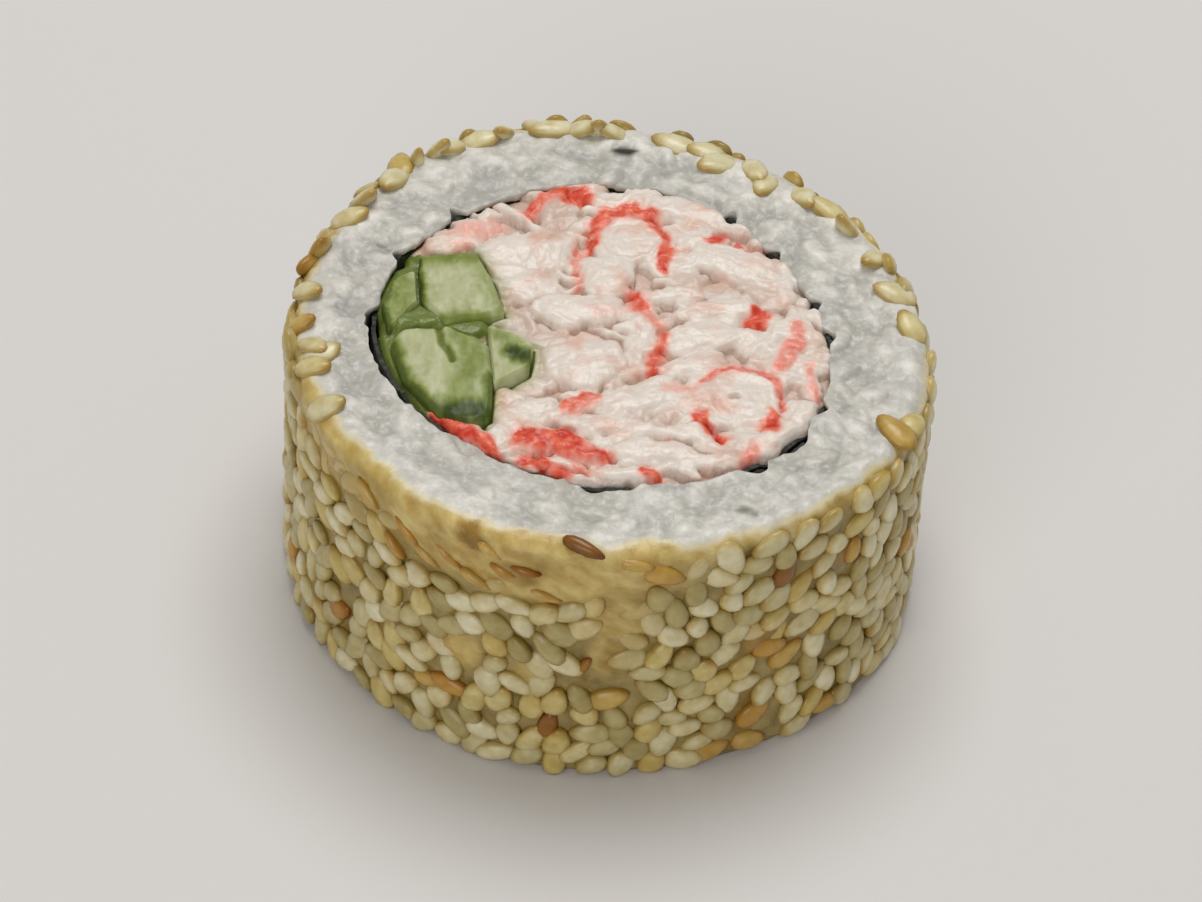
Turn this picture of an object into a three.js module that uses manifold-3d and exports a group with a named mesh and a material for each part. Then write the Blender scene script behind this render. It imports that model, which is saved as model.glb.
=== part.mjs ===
// One slice of an inside-out crab stick roll, lying on a cut face with the other cut face up.
// From the outside in: toasted sesame seeds, a ring of sushi rice, a sheet of nori lapped over
// itself, and a core of shredded crab stick with a bundle of cucumber batons at its left side.
// Millimetres, +Z up. The origin is the centre of the face that the slice stands on.
import * as THREE from "three";
import { ConvexGeometry } from "three/addons/geometries/ConvexGeometry.js";
import { mergeVertices } from "three/addons/utils/BufferGeometryUtils.js";
import Module from "manifold-3d";

const wasm = await Module();
wasm.setup();

// Driving sizes
const SLICE_HEIGHT = 22;
const RICE_RADIUS = 22.3;
const NORI_RADIUS = 15.7;
const NORI_THICKNESS = 0.4;
const LAYER_GAP = 0.15;
const SEED_LENGTH = 3.1;
const SEED_WIDTH = 1.9;
const SEED_PROUD = 0.8;
const GRAIN_LENGTH = 5.6;
const GRAIN_WIDTH = 2.4;
const GRAIN_PROUD = 0.45;

// The nori's lap, in turns of the sheet: where it starts, how long it is, and how early it rises
const SEAM_ANGLE = THREE.MathUtils.degToRad(-62);
const LAP = 0.06;
const LAP_RISE = 0.12;
const LAP_FADE = 0.02;

// Unevenness of the hand-rolled outlines: each wave is [lobes, height, angle of its crest]
const RICE_WAVES = [
  [2, 0.5, 136],
  [3, 0.25, -12],
  [5, 0.12, 40],
];
const NORI_WAVES = [
  [1, 0.3, -150],
  [2, 0.6, 146],
  [3, 0.3, -47],
  [4, 0.15, -20],
];

const RICE_STEPS = 36;
const NORI_STEPS = 54;
const CORE_STEPS = 40;

function seededRandom(seed) {
  let state = seed;
  return () => {
    state = (state + 0x6d2b79f5) | 0;
    let mixed = Math.imul(state ^ (state >>> 15), 1 | state);
    mixed = (mixed + Math.imul(mixed ^ (mixed >>> 7), 61 | mixed)) ^ mixed;
    return ((mixed ^ (mixed >>> 14)) >>> 0) / 2 ** 32;
  };
}

function waviness(angle, waves) {
  return waves.reduce(
    (sum, [lobes, height, crest]) =>
      sum + height * Math.cos(lobes * (angle - THREE.MathUtils.degToRad(crest))),
    0,
  );
}

function riceSide(angle) {
  return RICE_RADIUS + waviness(angle, RICE_WAVES);
}

// The sheet's middle line after this many turns from its inner end
function noriMiddle(turns) {
  const angle = SEAM_ANGLE + turns * 2 * Math.PI;
  const rise = THREE.MathUtils.smoothstep(turns, 1 - LAP_RISE, 1);
  return NORI_RADIUS + waviness(angle, NORI_WAVES) + rise * (NORI_THICKNESS + LAYER_GAP);
}

function turnsFromSeam(angle) {
  const turns = (angle - SEAM_ANGLE) / (2 * Math.PI);
  return turns - Math.floor(turns);
}

// Inner wall of the rice: outside whichever turn of the sheet is outermost
function riceHole(angle) {
  const turns = turnsFromSeam(angle);
  const clearance = NORI_THICKNESS / 2 + LAYER_GAP;
  const single = noriMiddle(turns) + clearance;
  const lapped = noriMiddle(turns + 1) + clearance;
  const share = 1 - THREE.MathUtils.smoothstep(turns, LAP, LAP + LAP_FADE);
  return single + Math.max(0, lapped - single) * share;
}

// Outer wall of the filling: inside whichever turn of the sheet is innermost
function coreWall(angle) {
  const turns = turnsFromSeam(angle);
  const clearance = NORI_THICKNESS / 2 + LAYER_GAP;
  const wall = noriMiddle(turns) - clearance;
  const beforeSeam = noriMiddle(turns - 1) - clearance;
  const share = THREE.MathUtils.smoothstep(turns, 1 - 2 * LAP_FADE, 1 - LAP_FADE);
  return wall + Math.min(0, beforeSeam - wall) * share;
}

// A closed mesh from rows of points, where each row is one closed section
function sectionedGeometry(rows, closedLoop) {
  const perRow = rows[0].length;
  const positions = rows.flat().flatMap((point) => point.toArray());
  const faces = [];
  const spans = closedLoop ? rows.length : rows.length - 1;
  for (let i = 0; i < spans; i++) {
    const here = i * perRow;
    const next = ((i + 1) % rows.length) * perRow;
    for (let j = 0; j < perRow; j++) {
      const k = (j + 1) % perRow;
      faces.push(here + j, next + j, next + k, here + j, next + k, here + k);
    }
  }
  if (!closedLoop) {
    const last = (rows.length - 1) * perRow;
    for (let j = 1; j < perRow - 1; j++) {
      faces.push(0, j, j + 1, last, last + j + 1, last + j);
    }
  }
  const geometry = new THREE.BufferGeometry();
  geometry.setAttribute("position", new THREE.Float32BufferAttribute(positions, 3));
  geometry.setIndex(faces);
  return geometry;
}

function polarPoint(radius, angle, z) {
  return new THREE.Vector3(radius * Math.cos(angle), radius * Math.sin(angle), z);
}

function solidOf(geometry) {
  const bare = geometry.clone();
  bare.deleteAttribute("normal");
  bare.deleteAttribute("uv");
  const merged = mergeVertices(bare, 1e-4);
  return new wasm.Manifold(
    new wasm.Mesh({
      numProp: 3,
      vertProperties: merged.attributes.position.array,
      triVerts: new Uint32Array(merged.index.array),
    }),
  );
}

function geometryOf(solid) {
  const mesh = solid.getMesh();
  const geometry = new THREE.BufferGeometry();
  geometry.setAttribute("position", new THREE.Float32BufferAttribute(mesh.vertProperties, 3));
  geometry.setIndex(new THREE.BufferAttribute(mesh.triVerts, 1));
  geometry.computeVertexNormals();
  return geometry;
}

function joined(solids) {
  return wasm.Manifold.union(solids);
}

function largestBody(solid) {
  return solid.decompose().sort((a, b) => b.volume() - a.volume())[0];
}

// A solid whose wall stands at radiusAt(angle) all round
function column(radiusAt, bottom, top, steps) {
  const outline = new THREE.Shape();
  for (let i = 0; i < steps; i++) {
    const point = polarPoint(radiusAt((i / steps) * 2 * Math.PI), (i / steps) * 2 * Math.PI, 0);
    if (i === 0) outline.moveTo(point.x, point.y);
    else outline.lineTo(point.x, point.y);
  }
  const geometry = new THREE.ExtrudeGeometry(outline, { depth: top - bottom, bevelEnabled: false });
  geometry.translate(0, 0, bottom);
  return solidOf(geometry);
}

// A grain pressed into a surface at z = 0, with its length along Y and its thinner end at +Y.
// It narrows towards its flat top, and its sides go on a little way below the surface.
const GRAIN_TOP = 0.5;
const GRAIN_ROOT = 0.22;
const GRAIN_SHOULDER = 0.27;
function pressedGrain(length, width, proud, taper) {
  const root = -proud * GRAIN_ROOT;
  const points = [];
  for (const z of [root, proud]) {
    const spread = 1 - ((1 - GRAIN_TOP) * z) / proud;
    for (const end of [-1, 1]) {
      const half = (width / 2) * spread * (end > 0 ? 1 - taper : 1);
      const shoulder = end * length * GRAIN_SHOULDER;
      points.push(new THREE.Vector3(-half, shoulder, z), new THREE.Vector3(half, shoulder, z));
      if (z === root) points.push(new THREE.Vector3(0, (end * length * spread) / 2, z));
    }
  }
  return new ConvexGeometry(points);
}

// The geometry moved to a place, with its +Z turned outward and then spun about that direction
function placed(geometry, position, outward, spin, tilt = 0) {
  const holder = new THREE.Object3D();
  holder.position.copy(position);
  holder.quaternion.setFromUnitVectors(new THREE.Vector3(0, 0, 1), outward);
  holder.rotateZ(spin);
  holder.rotateX(tilt);
  holder.updateMatrixWorld();
  return geometry.clone().applyMatrix4(holder.matrixWorld);
}

// Rice ring: its section from the foot of the hole, round the side, and back over the cut face
const EDGE_ROUND = 1.3;
const FOOT_ROUND = 0.6;
function riceRing() {
  const rows = [];
  for (let i = 0; i < RICE_STEPS; i++) {
    const angle = (i / RICE_STEPS) * 2 * Math.PI;
    const side = riceSide(angle);
    const hole = riceHole(angle);
    const section = [
      [hole, 0],
      [side - FOOT_ROUND, 0],
      [side, FOOT_ROUND],
      [side, SLICE_HEIGHT - EDGE_ROUND],
      [side - 0.3 * EDGE_ROUND, SLICE_HEIGHT - 0.3 * EDGE_ROUND],
      [side - EDGE_ROUND, SLICE_HEIGHT],
      [hole, SLICE_HEIGHT],
    ];
    rows.push(section.map(([radius, z]) => polarPoint(radius, angle, z)));
  }
  return solidOf(sectionedGeometry(rows, true));
}

// Grains that show on the upper cut face, lying flat and pressed in
const GRAIN_RINGS = [
  { radius: 17.5, count: 18 },
  { radius: 19.5, count: 22 },
];
function riceGrains() {
  const random = seededRandom(11);
  const up = new THREE.Vector3(0, 0, 1);
  const grains = [];
  for (const { radius, count } of GRAIN_RINGS) {
    for (let i = 0; i < count; i++) {
      const angle = ((i + 0.6 * random()) / count) * 2 * Math.PI;
      const out = radius + waviness(angle, RICE_WAVES) + 0.6 * (random() - 0.5);
      const proud = GRAIN_PROUD * (0.7 + 0.6 * random());
      const grain = pressedGrain(GRAIN_LENGTH, GRAIN_WIDTH, proud, 0);
      const spin = angle + 1.9 * (random() - 0.5);
      grains.push(solidOf(placed(grain, polarPoint(out, angle, SLICE_HEIGHT), up, spin)));
    }
  }
  return joined(grains);
}

// The place and the outward direction at a height measured up the side and on over its round edge
function sidePlace(angle, height) {
  const side = riceSide(angle);
  const turn = Math.max(0, height - (SLICE_HEIGHT - EDGE_ROUND)) / EDGE_ROUND;
  const outward = polarPoint(Math.cos(turn), angle, Math.sin(turn));
  const below = turn > 0 ? SLICE_HEIGHT - EDGE_ROUND : height;
  const place = polarPoint(side - EDGE_ROUND, angle, below);
  return { place: place.addScaledVector(outward, EDGE_ROUND), outward };
}

// Sesame seeds pressed in all over the side. Each draw is kept where it clears the seeds before it
const SEED_COUNT = 340;
const SEED_DRAWS = 60000;
const SEED_LOWEST = 1.2;
const SEED_HIGHEST = SLICE_HEIGHT - 0.4;
const SEED_SPACING = 1.14 * SEED_WIDTH;
function seedPlaces() {
  const random = seededRandom(5);
  const halfSpine = (SEED_LENGTH - SEED_WIDTH) / 2;
  const girth = 2 * Math.PI * RICE_RADIUS;
  const places = [];
  for (let draw = 0; draw < SEED_DRAWS && places.length < SEED_COUNT; draw++) {
    const along = random() * girth;
    const height = SEED_LOWEST + random() * (SEED_HIGHEST - SEED_LOWEST);
    const spin = random() * Math.PI;
    const spine = new THREE.Vector2(Math.sin(spin), Math.cos(spin)).multiplyScalar(halfSpine);
    const lowEnd = height - Math.abs(spine.y) - SEED_WIDTH / 2;
    const clear = places.every((other) => {
      const across = ((along - other.along + 1.5 * girth) % girth) - girth / 2;
      const offset = new THREE.Vector2(across, height - other.height);
      return spineGap(offset, spine, other.spine) > SEED_SPACING;
    });
    if (clear && lowEnd > 0) places.push({ along, height, spin, spine });
  }
  return places;
}

// Least distance between two seeds' spines, sampled along both
function spineGap(offset, spine, otherSpine) {
  if (offset.length() > SEED_LENGTH) return offset.length();
  let least = Infinity;
  for (const share of [-1, -0.5, 0, 0.5, 1]) {
    for (const otherShare of [-1, -0.5, 0, 0.5, 1]) {
      const gap = offset
        .clone()
        .addScaledVector(spine, share)
        .addScaledVector(otherSpine, -otherShare);
      least = Math.min(least, gap.length());
    }
  }
  return least;
}

function sesameSeeds() {
  const random = seededRandom(6);
  const seed = pressedGrain(SEED_LENGTH, SEED_WIDTH, SEED_PROUD, 0.35);
  return joined(
    seedPlaces().map(({ along, height, spin }) => {
      const { place, outward } = sidePlace(along / RICE_RADIUS, height);
      const end = random() < 0.5 ? 0 : Math.PI;
      return solidOf(placed(seed, place, outward, spin + end));
    }),
  );
}

function sesameRice() {
  const reach = SLICE_HEIGHT * 2;
  const hole = column(riceHole, -reach, reach, RICE_STEPS);
  const underFloor = solidOf(new THREE.BoxGeometry(reach * 2, reach * 2, reach)).translate(
    0,
    0,
    -reach / 2,
  );
  const fused = joined([riceRing(), riceGrains(), sesameSeeds()]);
  return geometryOf(largestBody(fused.subtract(hole).subtract(underFloor)));
}

// Nori: one long strip on edge, rolled a little over one turn, its cut edges slightly ragged
const NORI_RAGGED = 0.2;
function noriSheet() {
  const random = seededRandom(23);
  const rows = [];
  for (let i = 0; i <= NORI_STEPS; i++) {
    const turns = (i / NORI_STEPS) * (1 + LAP);
    const angle = SEAM_ANGLE + turns * 2 * Math.PI;
    const middle = noriMiddle(turns);
    const top = SLICE_HEIGHT + NORI_RAGGED * (random() - 0.4);
    const bottom = NORI_RAGGED * (0.5 + random());
    const inner = middle - NORI_THICKNESS / 2;
    const outer = middle + NORI_THICKNESS / 2;
    rows.push([
      polarPoint(inner, angle, bottom),
      polarPoint(outer, angle, bottom),
      polarPoint(outer, angle, top),
      polarPoint(inner, angle, top),
    ]);
  }
  return sectionedGeometry(rows, false);
}

// Cucumber batons, cut by hand: [x, y] corners of each in the cut face, and how far it stands up
const CUCUMBER_ROUND = 0.35;
const BATONS = {
  cucumber_upper: {
    corners: [
      [-12.8, 6.9],
      [-8.9, 7.3],
      [-7.6, 1.5],
      [-11.3, 0.9],
      [-12.7, 3.0],
    ],
    proud: 0.5,
  },
  cucumber_lower: {
    corners: [
      [-13.2, 1.8],
      [-11.4, 0.3],
      [-8.9, 0.3],
      [-8.6, -4.9],
      [-9.4, -8.3],
      [-11.3, -7.8],
      [-13.7, -4.6],
      [-14.5, -1.2],
    ],
    proud: 0.3,
  },
  cucumber_left: {
    corners: [
      [-15.3, 3.6],
      [-13.3, 5.6],
      [-13.3, 2.8],
      [-14.9, 0.9],
    ],
    proud: 0.1,
  },
  cucumber_right: {
    corners: [
      [-8.3, 0.2],
      [-5.7, -2.4],
      [-6.2, -4.2],
      [-8.1, -5.4],
    ],
    proud: 0.6,
  },
};

const BATON_BEVEL = 0.2;

// The outline of a baton's flat end, inside its bevel and with each corner cut off a little
function batonEnd(corners) {
  const points = corners.map(([x, y]) => new THREE.Vector2(x, y));
  const middle = points
    .reduce((sum, point) => sum.add(point), new THREE.Vector2())
    .divideScalar(points.length);
  const shape = new THREE.Shape();
  points.forEach((corner, i) => {
    const before = points[(i + points.length - 1) % points.length];
    const after = points[(i + 1) % points.length];
    const inward = middle.clone().sub(corner).setLength(BATON_BEVEL);
    for (const neighbour of [before, after]) {
      const step = neighbour.clone().sub(corner).setLength(CUCUMBER_ROUND);
      const point = corner.clone().add(step).add(inward);
      if (i === 0 && neighbour === before) shape.moveTo(point.x, point.y);
      else shape.lineTo(point.x, point.y);
    }
  });
  return shape;
}

function baton(corners, bottom, top, growth = 0) {
  const geometry = new THREE.ExtrudeGeometry(batonEnd(corners), {
    depth: top - bottom - 2 * BATON_BEVEL,
    bevelThickness: BATON_BEVEL,
    bevelSize: BATON_BEVEL + growth,
    bevelSegments: 1,
  });
  geometry.translate(0, 0, bottom + BATON_BEVEL);
  return geometry;
}

// Crab stick filling: a core with round stick sections and long shreds fused on its upper face
const CORE_TOP = SLICE_HEIGHT - 0.2;
const STICK_SECTIONS = [
  { x: 2.4, y: 9.6, across: 5.4, long: 6.2, turn: 20 },
  { x: 8.8, y: -6.2, across: 6.4, long: 7.0, turn: -30 },
  { x: -2.2, y: -3.4, across: 5.4, long: 6.4, turn: 35 },
  { x: -2.6, y: 12.0, across: 4.0, long: 5.0, turn: 60 },
  { x: 8.6, y: 6.2, across: 3.6, long: 7.2, turn: -25 },
  { x: 1.6, y: -11.4, across: 3.6, long: 9.0, turn: -8 },
];
const SECTION_DEPTH = 4.4;
const SECTION_PROUD = 0.8;
const SHRED_RINGS = [
  { radius: 4.0, count: 5 },
  { radius: 8.2, count: 11 },
  { radius: 12.6, count: 16 },
];
const SHRED_LENGTH = 5.4;
const SHRED_WIDTH = 2.2;
const SHRED_PROUD = 0.7;
function crabShreds() {
  const random = seededRandom(41);
  const up = new THREE.Vector3(0, 0, 1);
  const pieces = STICK_SECTIONS.map(({ x, y, across, long, turn }) => {
    const section = new THREE.SphereGeometry(1, 9, 6);
    section.rotateX(Math.PI / 2);
    section.scale(across / 2, long / 2, SECTION_DEPTH / 2);
    const place = new THREE.Vector3(x, y, SLICE_HEIGHT + SECTION_PROUD - SECTION_DEPTH / 2);
    return solidOf(placed(section, place, up, THREE.MathUtils.degToRad(turn - 90)));
  });
  for (const { radius, count } of SHRED_RINGS) {
    for (let i = 0; i < count; i++) {
      const angle = ((i + 0.7 * random()) / count) * 2 * Math.PI;
      const size = 0.75 + 0.5 * random();
      const proud = SHRED_PROUD * (0.6 + 0.8 * random());
      const shred = pressedGrain(SHRED_LENGTH * size, SHRED_WIDTH * size, proud, 0.3);
      const place = polarPoint(radius + 1.2 * (random() - 0.5), angle, CORE_TOP);
      const spin = Math.PI / 2 + 1.8 * (random() - 0.5);
      pieces.push(solidOf(placed(shred, place, up, spin, 0.2 * (random() - 0.5))));
    }
  }
  return joined(pieces);
}

function crabFilling() {
  const reach = SLICE_HEIGHT * 2;
  const core = column(coreWall, 0, CORE_TOP, CORE_STEPS);
  const wall = column(coreWall, 0, reach, CORE_STEPS);
  const room = Object.values(BATONS).map(({ corners }) =>
    solidOf(baton(corners, -reach, reach, LAYER_GAP)),
  );
  const filled = joined([core, crabShreds()]).intersect(wall).subtract(joined(room));
  return geometryOf(largestBody(filled));
}

function food(name, geometry, color, roughness) {
  const material = new THREE.MeshStandardMaterial({ color, roughness, metalness: 0 });
  material.name = name;
  const mesh = new THREE.Mesh(geometry, material);
  mesh.name = name;
  return mesh;
}

const slice = new THREE.Group();
slice.add(food("sesame_rice", sesameRice(), 0xd8cba6, 0.5));
slice.add(food("nori", noriSheet(), 0x1f2a22, 0.6));
slice.add(food("crab_filling", crabFilling(), 0xefe0d2, 0.45));
for (const [name, { corners, proud }] of Object.entries(BATONS)) {
  slice.add(food(name, baton(corners, 0, SLICE_HEIGHT + proud), 0xa9bd7c, 0.35));
}

export default slice;
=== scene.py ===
"""One slice of an inside-out crab stick roll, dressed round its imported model.

Sizes are millimetres until a mesh is made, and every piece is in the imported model's own frame.
"""
import math

import bpy
import numpy as np
from mathutils import Matrix, Vector, noise


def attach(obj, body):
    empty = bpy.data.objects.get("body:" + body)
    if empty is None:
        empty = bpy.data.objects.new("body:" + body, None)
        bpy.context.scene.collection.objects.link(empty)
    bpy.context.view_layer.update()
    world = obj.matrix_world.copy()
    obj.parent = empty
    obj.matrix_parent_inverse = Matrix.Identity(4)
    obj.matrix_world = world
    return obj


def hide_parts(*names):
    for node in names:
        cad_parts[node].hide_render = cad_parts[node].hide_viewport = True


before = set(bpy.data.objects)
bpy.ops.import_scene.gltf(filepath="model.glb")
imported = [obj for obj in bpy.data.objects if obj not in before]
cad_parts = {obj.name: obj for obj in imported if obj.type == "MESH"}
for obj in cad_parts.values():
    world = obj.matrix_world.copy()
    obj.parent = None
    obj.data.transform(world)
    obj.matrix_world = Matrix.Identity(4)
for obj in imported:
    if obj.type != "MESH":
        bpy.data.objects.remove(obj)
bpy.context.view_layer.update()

MM = 0.001

# Driving sizes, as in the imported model
SLICE_HEIGHT = 22.0
RICE_RADIUS = 22.3
NORI_RADIUS = 15.7
NORI_THICKNESS = 0.4
LAYER_GAP = 0.15
EDGE_ROUND = 1.3
FOOT_ROUND = 0.6

# Seeds as long as the solid ones and a little wider, and rice grains a little smaller than
# the solid ones
SEED_LENGTH = 3.1
SEED_WIDTH = 2.1
SEED_THICKNESS = 1.15
SEED_TAPER = 0.24
GRAIN_LENGTH = 5.4
GRAIN_WIDTH = 2.2

# Radius of the ring on which noise along the sheet and the rice's lip is read
NOISE_RING = 12.0

# Hand-rolled unevenness: each wave is (lobes, height, angle of its crest)
RICE_WAVES = [(2, 0.5, 136), (3, 0.25, -12), (5, 0.12, 40)]
NORI_WAVES = [(1, 0.3, -150), (2, 0.6, 146), (3, 0.3, -47), (4, 0.15, -20)]
SEAM_ANGLE = math.radians(-62)
LAP = 0.06
LAP_RISE = 0.12

# Places where the nori shows at the upper cut face: (angle, half-width in degrees, gap beside it)
NORI_SHOWS = [
    (152, 2.2, 0.4),
    (130, 2, 0.6),
    (51, 2, 0.5),
    (33, 2.4, 0.4),
    (10, 2.6, 0.2),
    (-3, 3.5, 0.15),
    (-29, 2.6, 0.25),
    (-43, 4.5, 0),
    (-56, 3.5, 0.6),
    (-93, 8, 0.35),
    (-116, 12, 0),
    (176, 5, 0.5),
    (-166, 16, 0.3),
    (-145, 8, 0.1),
]

# The camera, matched to the slice's outline in the photograph
CAMERA_TILT = math.radians(40)
PHOTO_FOCAL = 1776.0
PHOTO_WIDTH = 1202.0
PHOTO_CENTRE = (601.0, 451.0)
FACE_CENTRE_PIXEL = (727.0, 554.0)
FACE_DEPTH = 360.0
SENSOR_WIDTH = 36.0
CLOSER = 2.9


def linear(hex_colour):
    """An sRGB hex colour as linear red, green, blue and alpha."""
    parts = [int(hex_colour[i : i + 2], 16) / 255 for i in (1, 3, 5)]
    channels = [c / 12.92 if c <= 0.04045 else ((c + 0.055) / 1.055) ** 2.4 for c in parts]
    return (*channels, 1.0)


def smoothstep(low, high, value):
    share = np.clip((value - low) / (high - low), 0, 1)
    return share * share * (3 - 2 * share)


def degrees_from(place, angle):
    """Degrees round the roll, -180 to 180, from a place in degrees to each angle."""
    return (np.degrees(angle) - place + 180) % 360 - 180


def round_roll(radius, angle, z):
    """Points at these radii, angles and heights round the roll's axis."""
    return np.stack(np.broadcast_arrays(radius * np.cos(angle), radius * np.sin(angle), z), -1)


def waviness(angle, waves):
    return sum(h * np.cos(lobes * (angle - math.radians(crest))) for lobes, h, crest in waves)


def rice_side(angle):
    return RICE_RADIUS + waviness(angle, RICE_WAVES)


def nori_middle(turns):
    """Radius of the sheet's middle line after this many turns from its inner end."""
    angle = SEAM_ANGLE + turns * 2 * math.pi
    rise = smoothstep(1 - LAP_RISE, 1, turns)
    return NORI_RADIUS + waviness(angle, NORI_WAVES) + rise * (NORI_THICKNESS + LAYER_GAP)


def turns_from_seam(angle):
    return ((angle - SEAM_ANGLE) / (2 * math.pi)) % 1


def rice_hole(angle):
    """Inner wall of the rice: outside whichever turn of the sheet is outermost."""
    turns = turns_from_seam(angle)
    clearance = NORI_THICKNESS / 2 + LAYER_GAP / 2
    single = nori_middle(turns) + clearance
    lapped = nori_middle(turns + 1) + clearance
    share = 1 - smoothstep(LAP, LAP + 0.02, turns)
    return single + np.maximum(0, lapped - single) * share


def core_wall(angle):
    """Outer wall of the filling: inside whichever turn of the sheet is innermost."""
    turns = turns_from_seam(angle)
    clearance = NORI_THICKNESS / 2 + LAYER_GAP / 2
    wall = nori_middle(turns) - clearance
    before_seam = nori_middle(turns - 1) - clearance
    share = smoothstep(0.96, 0.98, turns)
    return wall + np.minimum(0, before_seam - wall) * share


def nori_shows(angle):
    """How far the nori is laid bare at this angle, and how wide the gap beside it is."""
    shown = np.zeros_like(angle)
    gap = np.zeros_like(angle)
    for place, half, wide in NORI_SHOWS:
        away = np.abs(degrees_from(place, angle))
        here = 1 - smoothstep(max(0, half - 3), half + 1, away)
        shown = np.maximum(shown, here)
        gap = np.maximum(gap, here * wide)
    return shown, gap


def rough(points, size, octaves=3, seed=0.0):
    """Fractal noise about -1 to 1 at each point, with lumps of this size in mm."""
    shift = Vector((seed, 1.7 * seed, -0.6 * seed))
    places = points.tolist()
    return np.array([noise.fractal(Vector(p) / size + shift, 1.0, 2.0, octaves) for p in places])


def strokes_over(x, y, strokes):
    """How strongly painted strokes cover each place: each is (strength, width, points along)."""
    cover = np.zeros_like(x)
    for strength, width, *places in strokes:
        for (x0, y0), (x1, y1) in zip(places, places[1:]):
            run = (x1 - x0) ** 2 + (y1 - y0) ** 2
            along = np.clip(((x - x0) * (x1 - x0) + (y - y0) * (y1 - y0)) / run, 0, 1)
            away = np.hypot(x - x0 - along * (x1 - x0), y - y0 - along * (y1 - y0)) / width
            cover = np.maximum(cover, strength * (1 - smoothstep(0.15, 1.0, away)))
    return cover


def fill(tree, node, inputs):
    """Fills a node's inputs, by name or in order. A socket is linked, and any other value is set."""
    for key, value in inputs.items() if isinstance(inputs, dict) else enumerate(inputs):
        if isinstance(value, bpy.types.NodeSocket):
            tree.links.new(value, node.inputs[key])
        elif isinstance(value, str) and value.startswith("#"):
            node.inputs[key].default_value = linear(value)
        else:
            node.inputs[key].default_value = value


def add_node(tree, kind, inputs=(), out=0, **settings):
    """Adds a node with its settings and links, and gives back one of its outputs."""
    node = tree.nodes.new(kind)
    for name, value in settings.items():
        setattr(node, name, value)
    fill(tree, node, inputs)
    return node.outputs[out]


def carried(tree, *names):
    """The values that a piece's mesh carries under these names, in a material or a node tree."""
    if tree.type == "SHADER":
        return [add_node(tree, "ShaderNodeAttribute", out="Fac", attribute_name=n) for n in names]
    return [add_node(tree, "GeometryNodeInputNamedAttribute", [n], data_type="FLOAT") for n in names]


def mesh_object(name, points, faces, attributes=None, smooth=True):
    """A piece from points in mm, with float attributes on its points."""
    mesh = bpy.data.meshes.new(name)
    mesh.from_pydata((np.asarray(points) * MM).tolist(), [], faces)
    for label, values in (attributes or {}).items():
        values = np.asarray(values, np.float32).ravel()
        mesh.attributes.new(label, "FLOAT", "POINT").data.foreach_set("value", values)
    mesh.shade_smooth() if smooth else mesh.shade_flat()
    piece = bpy.data.objects.new(name, mesh)
    bpy.context.scene.collection.objects.link(piece)
    return piece


def ring_faces(rows, columns, close_rows=True):
    """Quads between rows of points, each row closed on itself. The last row may join the first."""
    i = np.arange(rows if close_rows else rows - 1)[:, None]
    j = np.arange(columns)[None, :]
    here = i * columns
    after = (i + 1) % rows * columns
    k = (j + 1) % columns
    quads = np.stack([here + j, here + k, after + k, after + j], axis=-1)
    return quads.reshape(-1, 4).tolist()


def dress(piece, material, slot, *nodes):
    """Gives a piece its material and hands it to the frame in place of these nodes."""
    if material is not None:
        piece.data.materials.clear()
        piece.data.materials.append(material)
    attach(piece, "root")
    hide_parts(*nodes)


def grown(carrier, tree, name, values):
    """Runs a node tree on a carrier mesh, and leaves one plain mesh object."""
    modifier = carrier.modifiers.new(name, "NODES")
    modifier.node_group = tree
    for item in tree.interface.items_tree:
        if item.in_out == "INPUT" and item.name in values:
            modifier[item.identifier] = values[item.name]
    bpy.context.view_layer.update()
    evaluated = carrier.evaluated_get(bpy.context.evaluated_depsgraph_get())
    mesh = bpy.data.meshes.new_from_object(evaluated)
    mesh.name = name
    carrier.modifiers.remove(modifier)
    bare = carrier.data
    carrier.data = mesh
    carrier.name = name
    bpy.data.meshes.remove(bare)
    return carrier


# Materials

def surface(name, look):
    """A material whose Principled shader has the inputs that look(tree) gives."""
    material = bpy.data.materials.new(name)
    material.use_nodes = True
    tree = material.node_tree
    fill(tree, tree.nodes["Principled BSDF"], look(tree))
    return material


def speckle(tree, size_mm, detail=3.0, stretch=(1, 1, 1)):
    """Noise on the object's own coordinates with lumps of about this size."""
    place = add_node(tree, "ShaderNodeTexCoord", out="Object")
    scale = [s / (size_mm * MM) for s in stretch]
    mapped = add_node(tree, "ShaderNodeMapping", {"Vector": place, "Scale": scale})
    return add_node(tree, "ShaderNodeTexNoise", {"Vector": mapped, "Scale": 1.0, "Detail": detail})


def fibrous(tree, scale, *measures):
    """Noise drawn out along a piece's own fibres, from up to three values that measure it in mm."""
    place = add_node(tree, "ShaderNodeCombineXYZ", carried(tree, *measures))
    mapped = add_node(tree, "ShaderNodeMapping", {"Vector": place, "Scale": scale})
    return add_node(tree, "ShaderNodeTexNoise", {"Vector": mapped, "Scale": 1.0, "Detail": 4.0})


def pressed_cells(tree, size_mm):
    """Rounded lumps pressed against each other, each about this size."""
    size = size_mm * MM
    place = add_node(tree, "ShaderNodeTexCoord", out="Object")
    wobbly = {"Vector": place, "Scale": 0.6 / size, "Detail": 2.0}
    wobble = add_node(tree, "ShaderNodeTexNoise", wobbly, "Color")
    shift = add_node(
        tree, "ShaderNodeVectorMath", {0: wobble, "Scale": 1.2 * size}, operation="SCALE"
    )
    shifted = add_node(tree, "ShaderNodeVectorMath", [place, shift], operation="ADD")
    lumps = {"Vector": shifted, "Scale": 1 / size, "Smoothness": 0.6}
    away = add_node(tree, "ShaderNodeTexVoronoi", lumps, "Distance", feature="SMOOTH_F1")
    return add_node(tree, "ShaderNodeMath", [1.0, away], operation="SUBTRACT")


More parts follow.
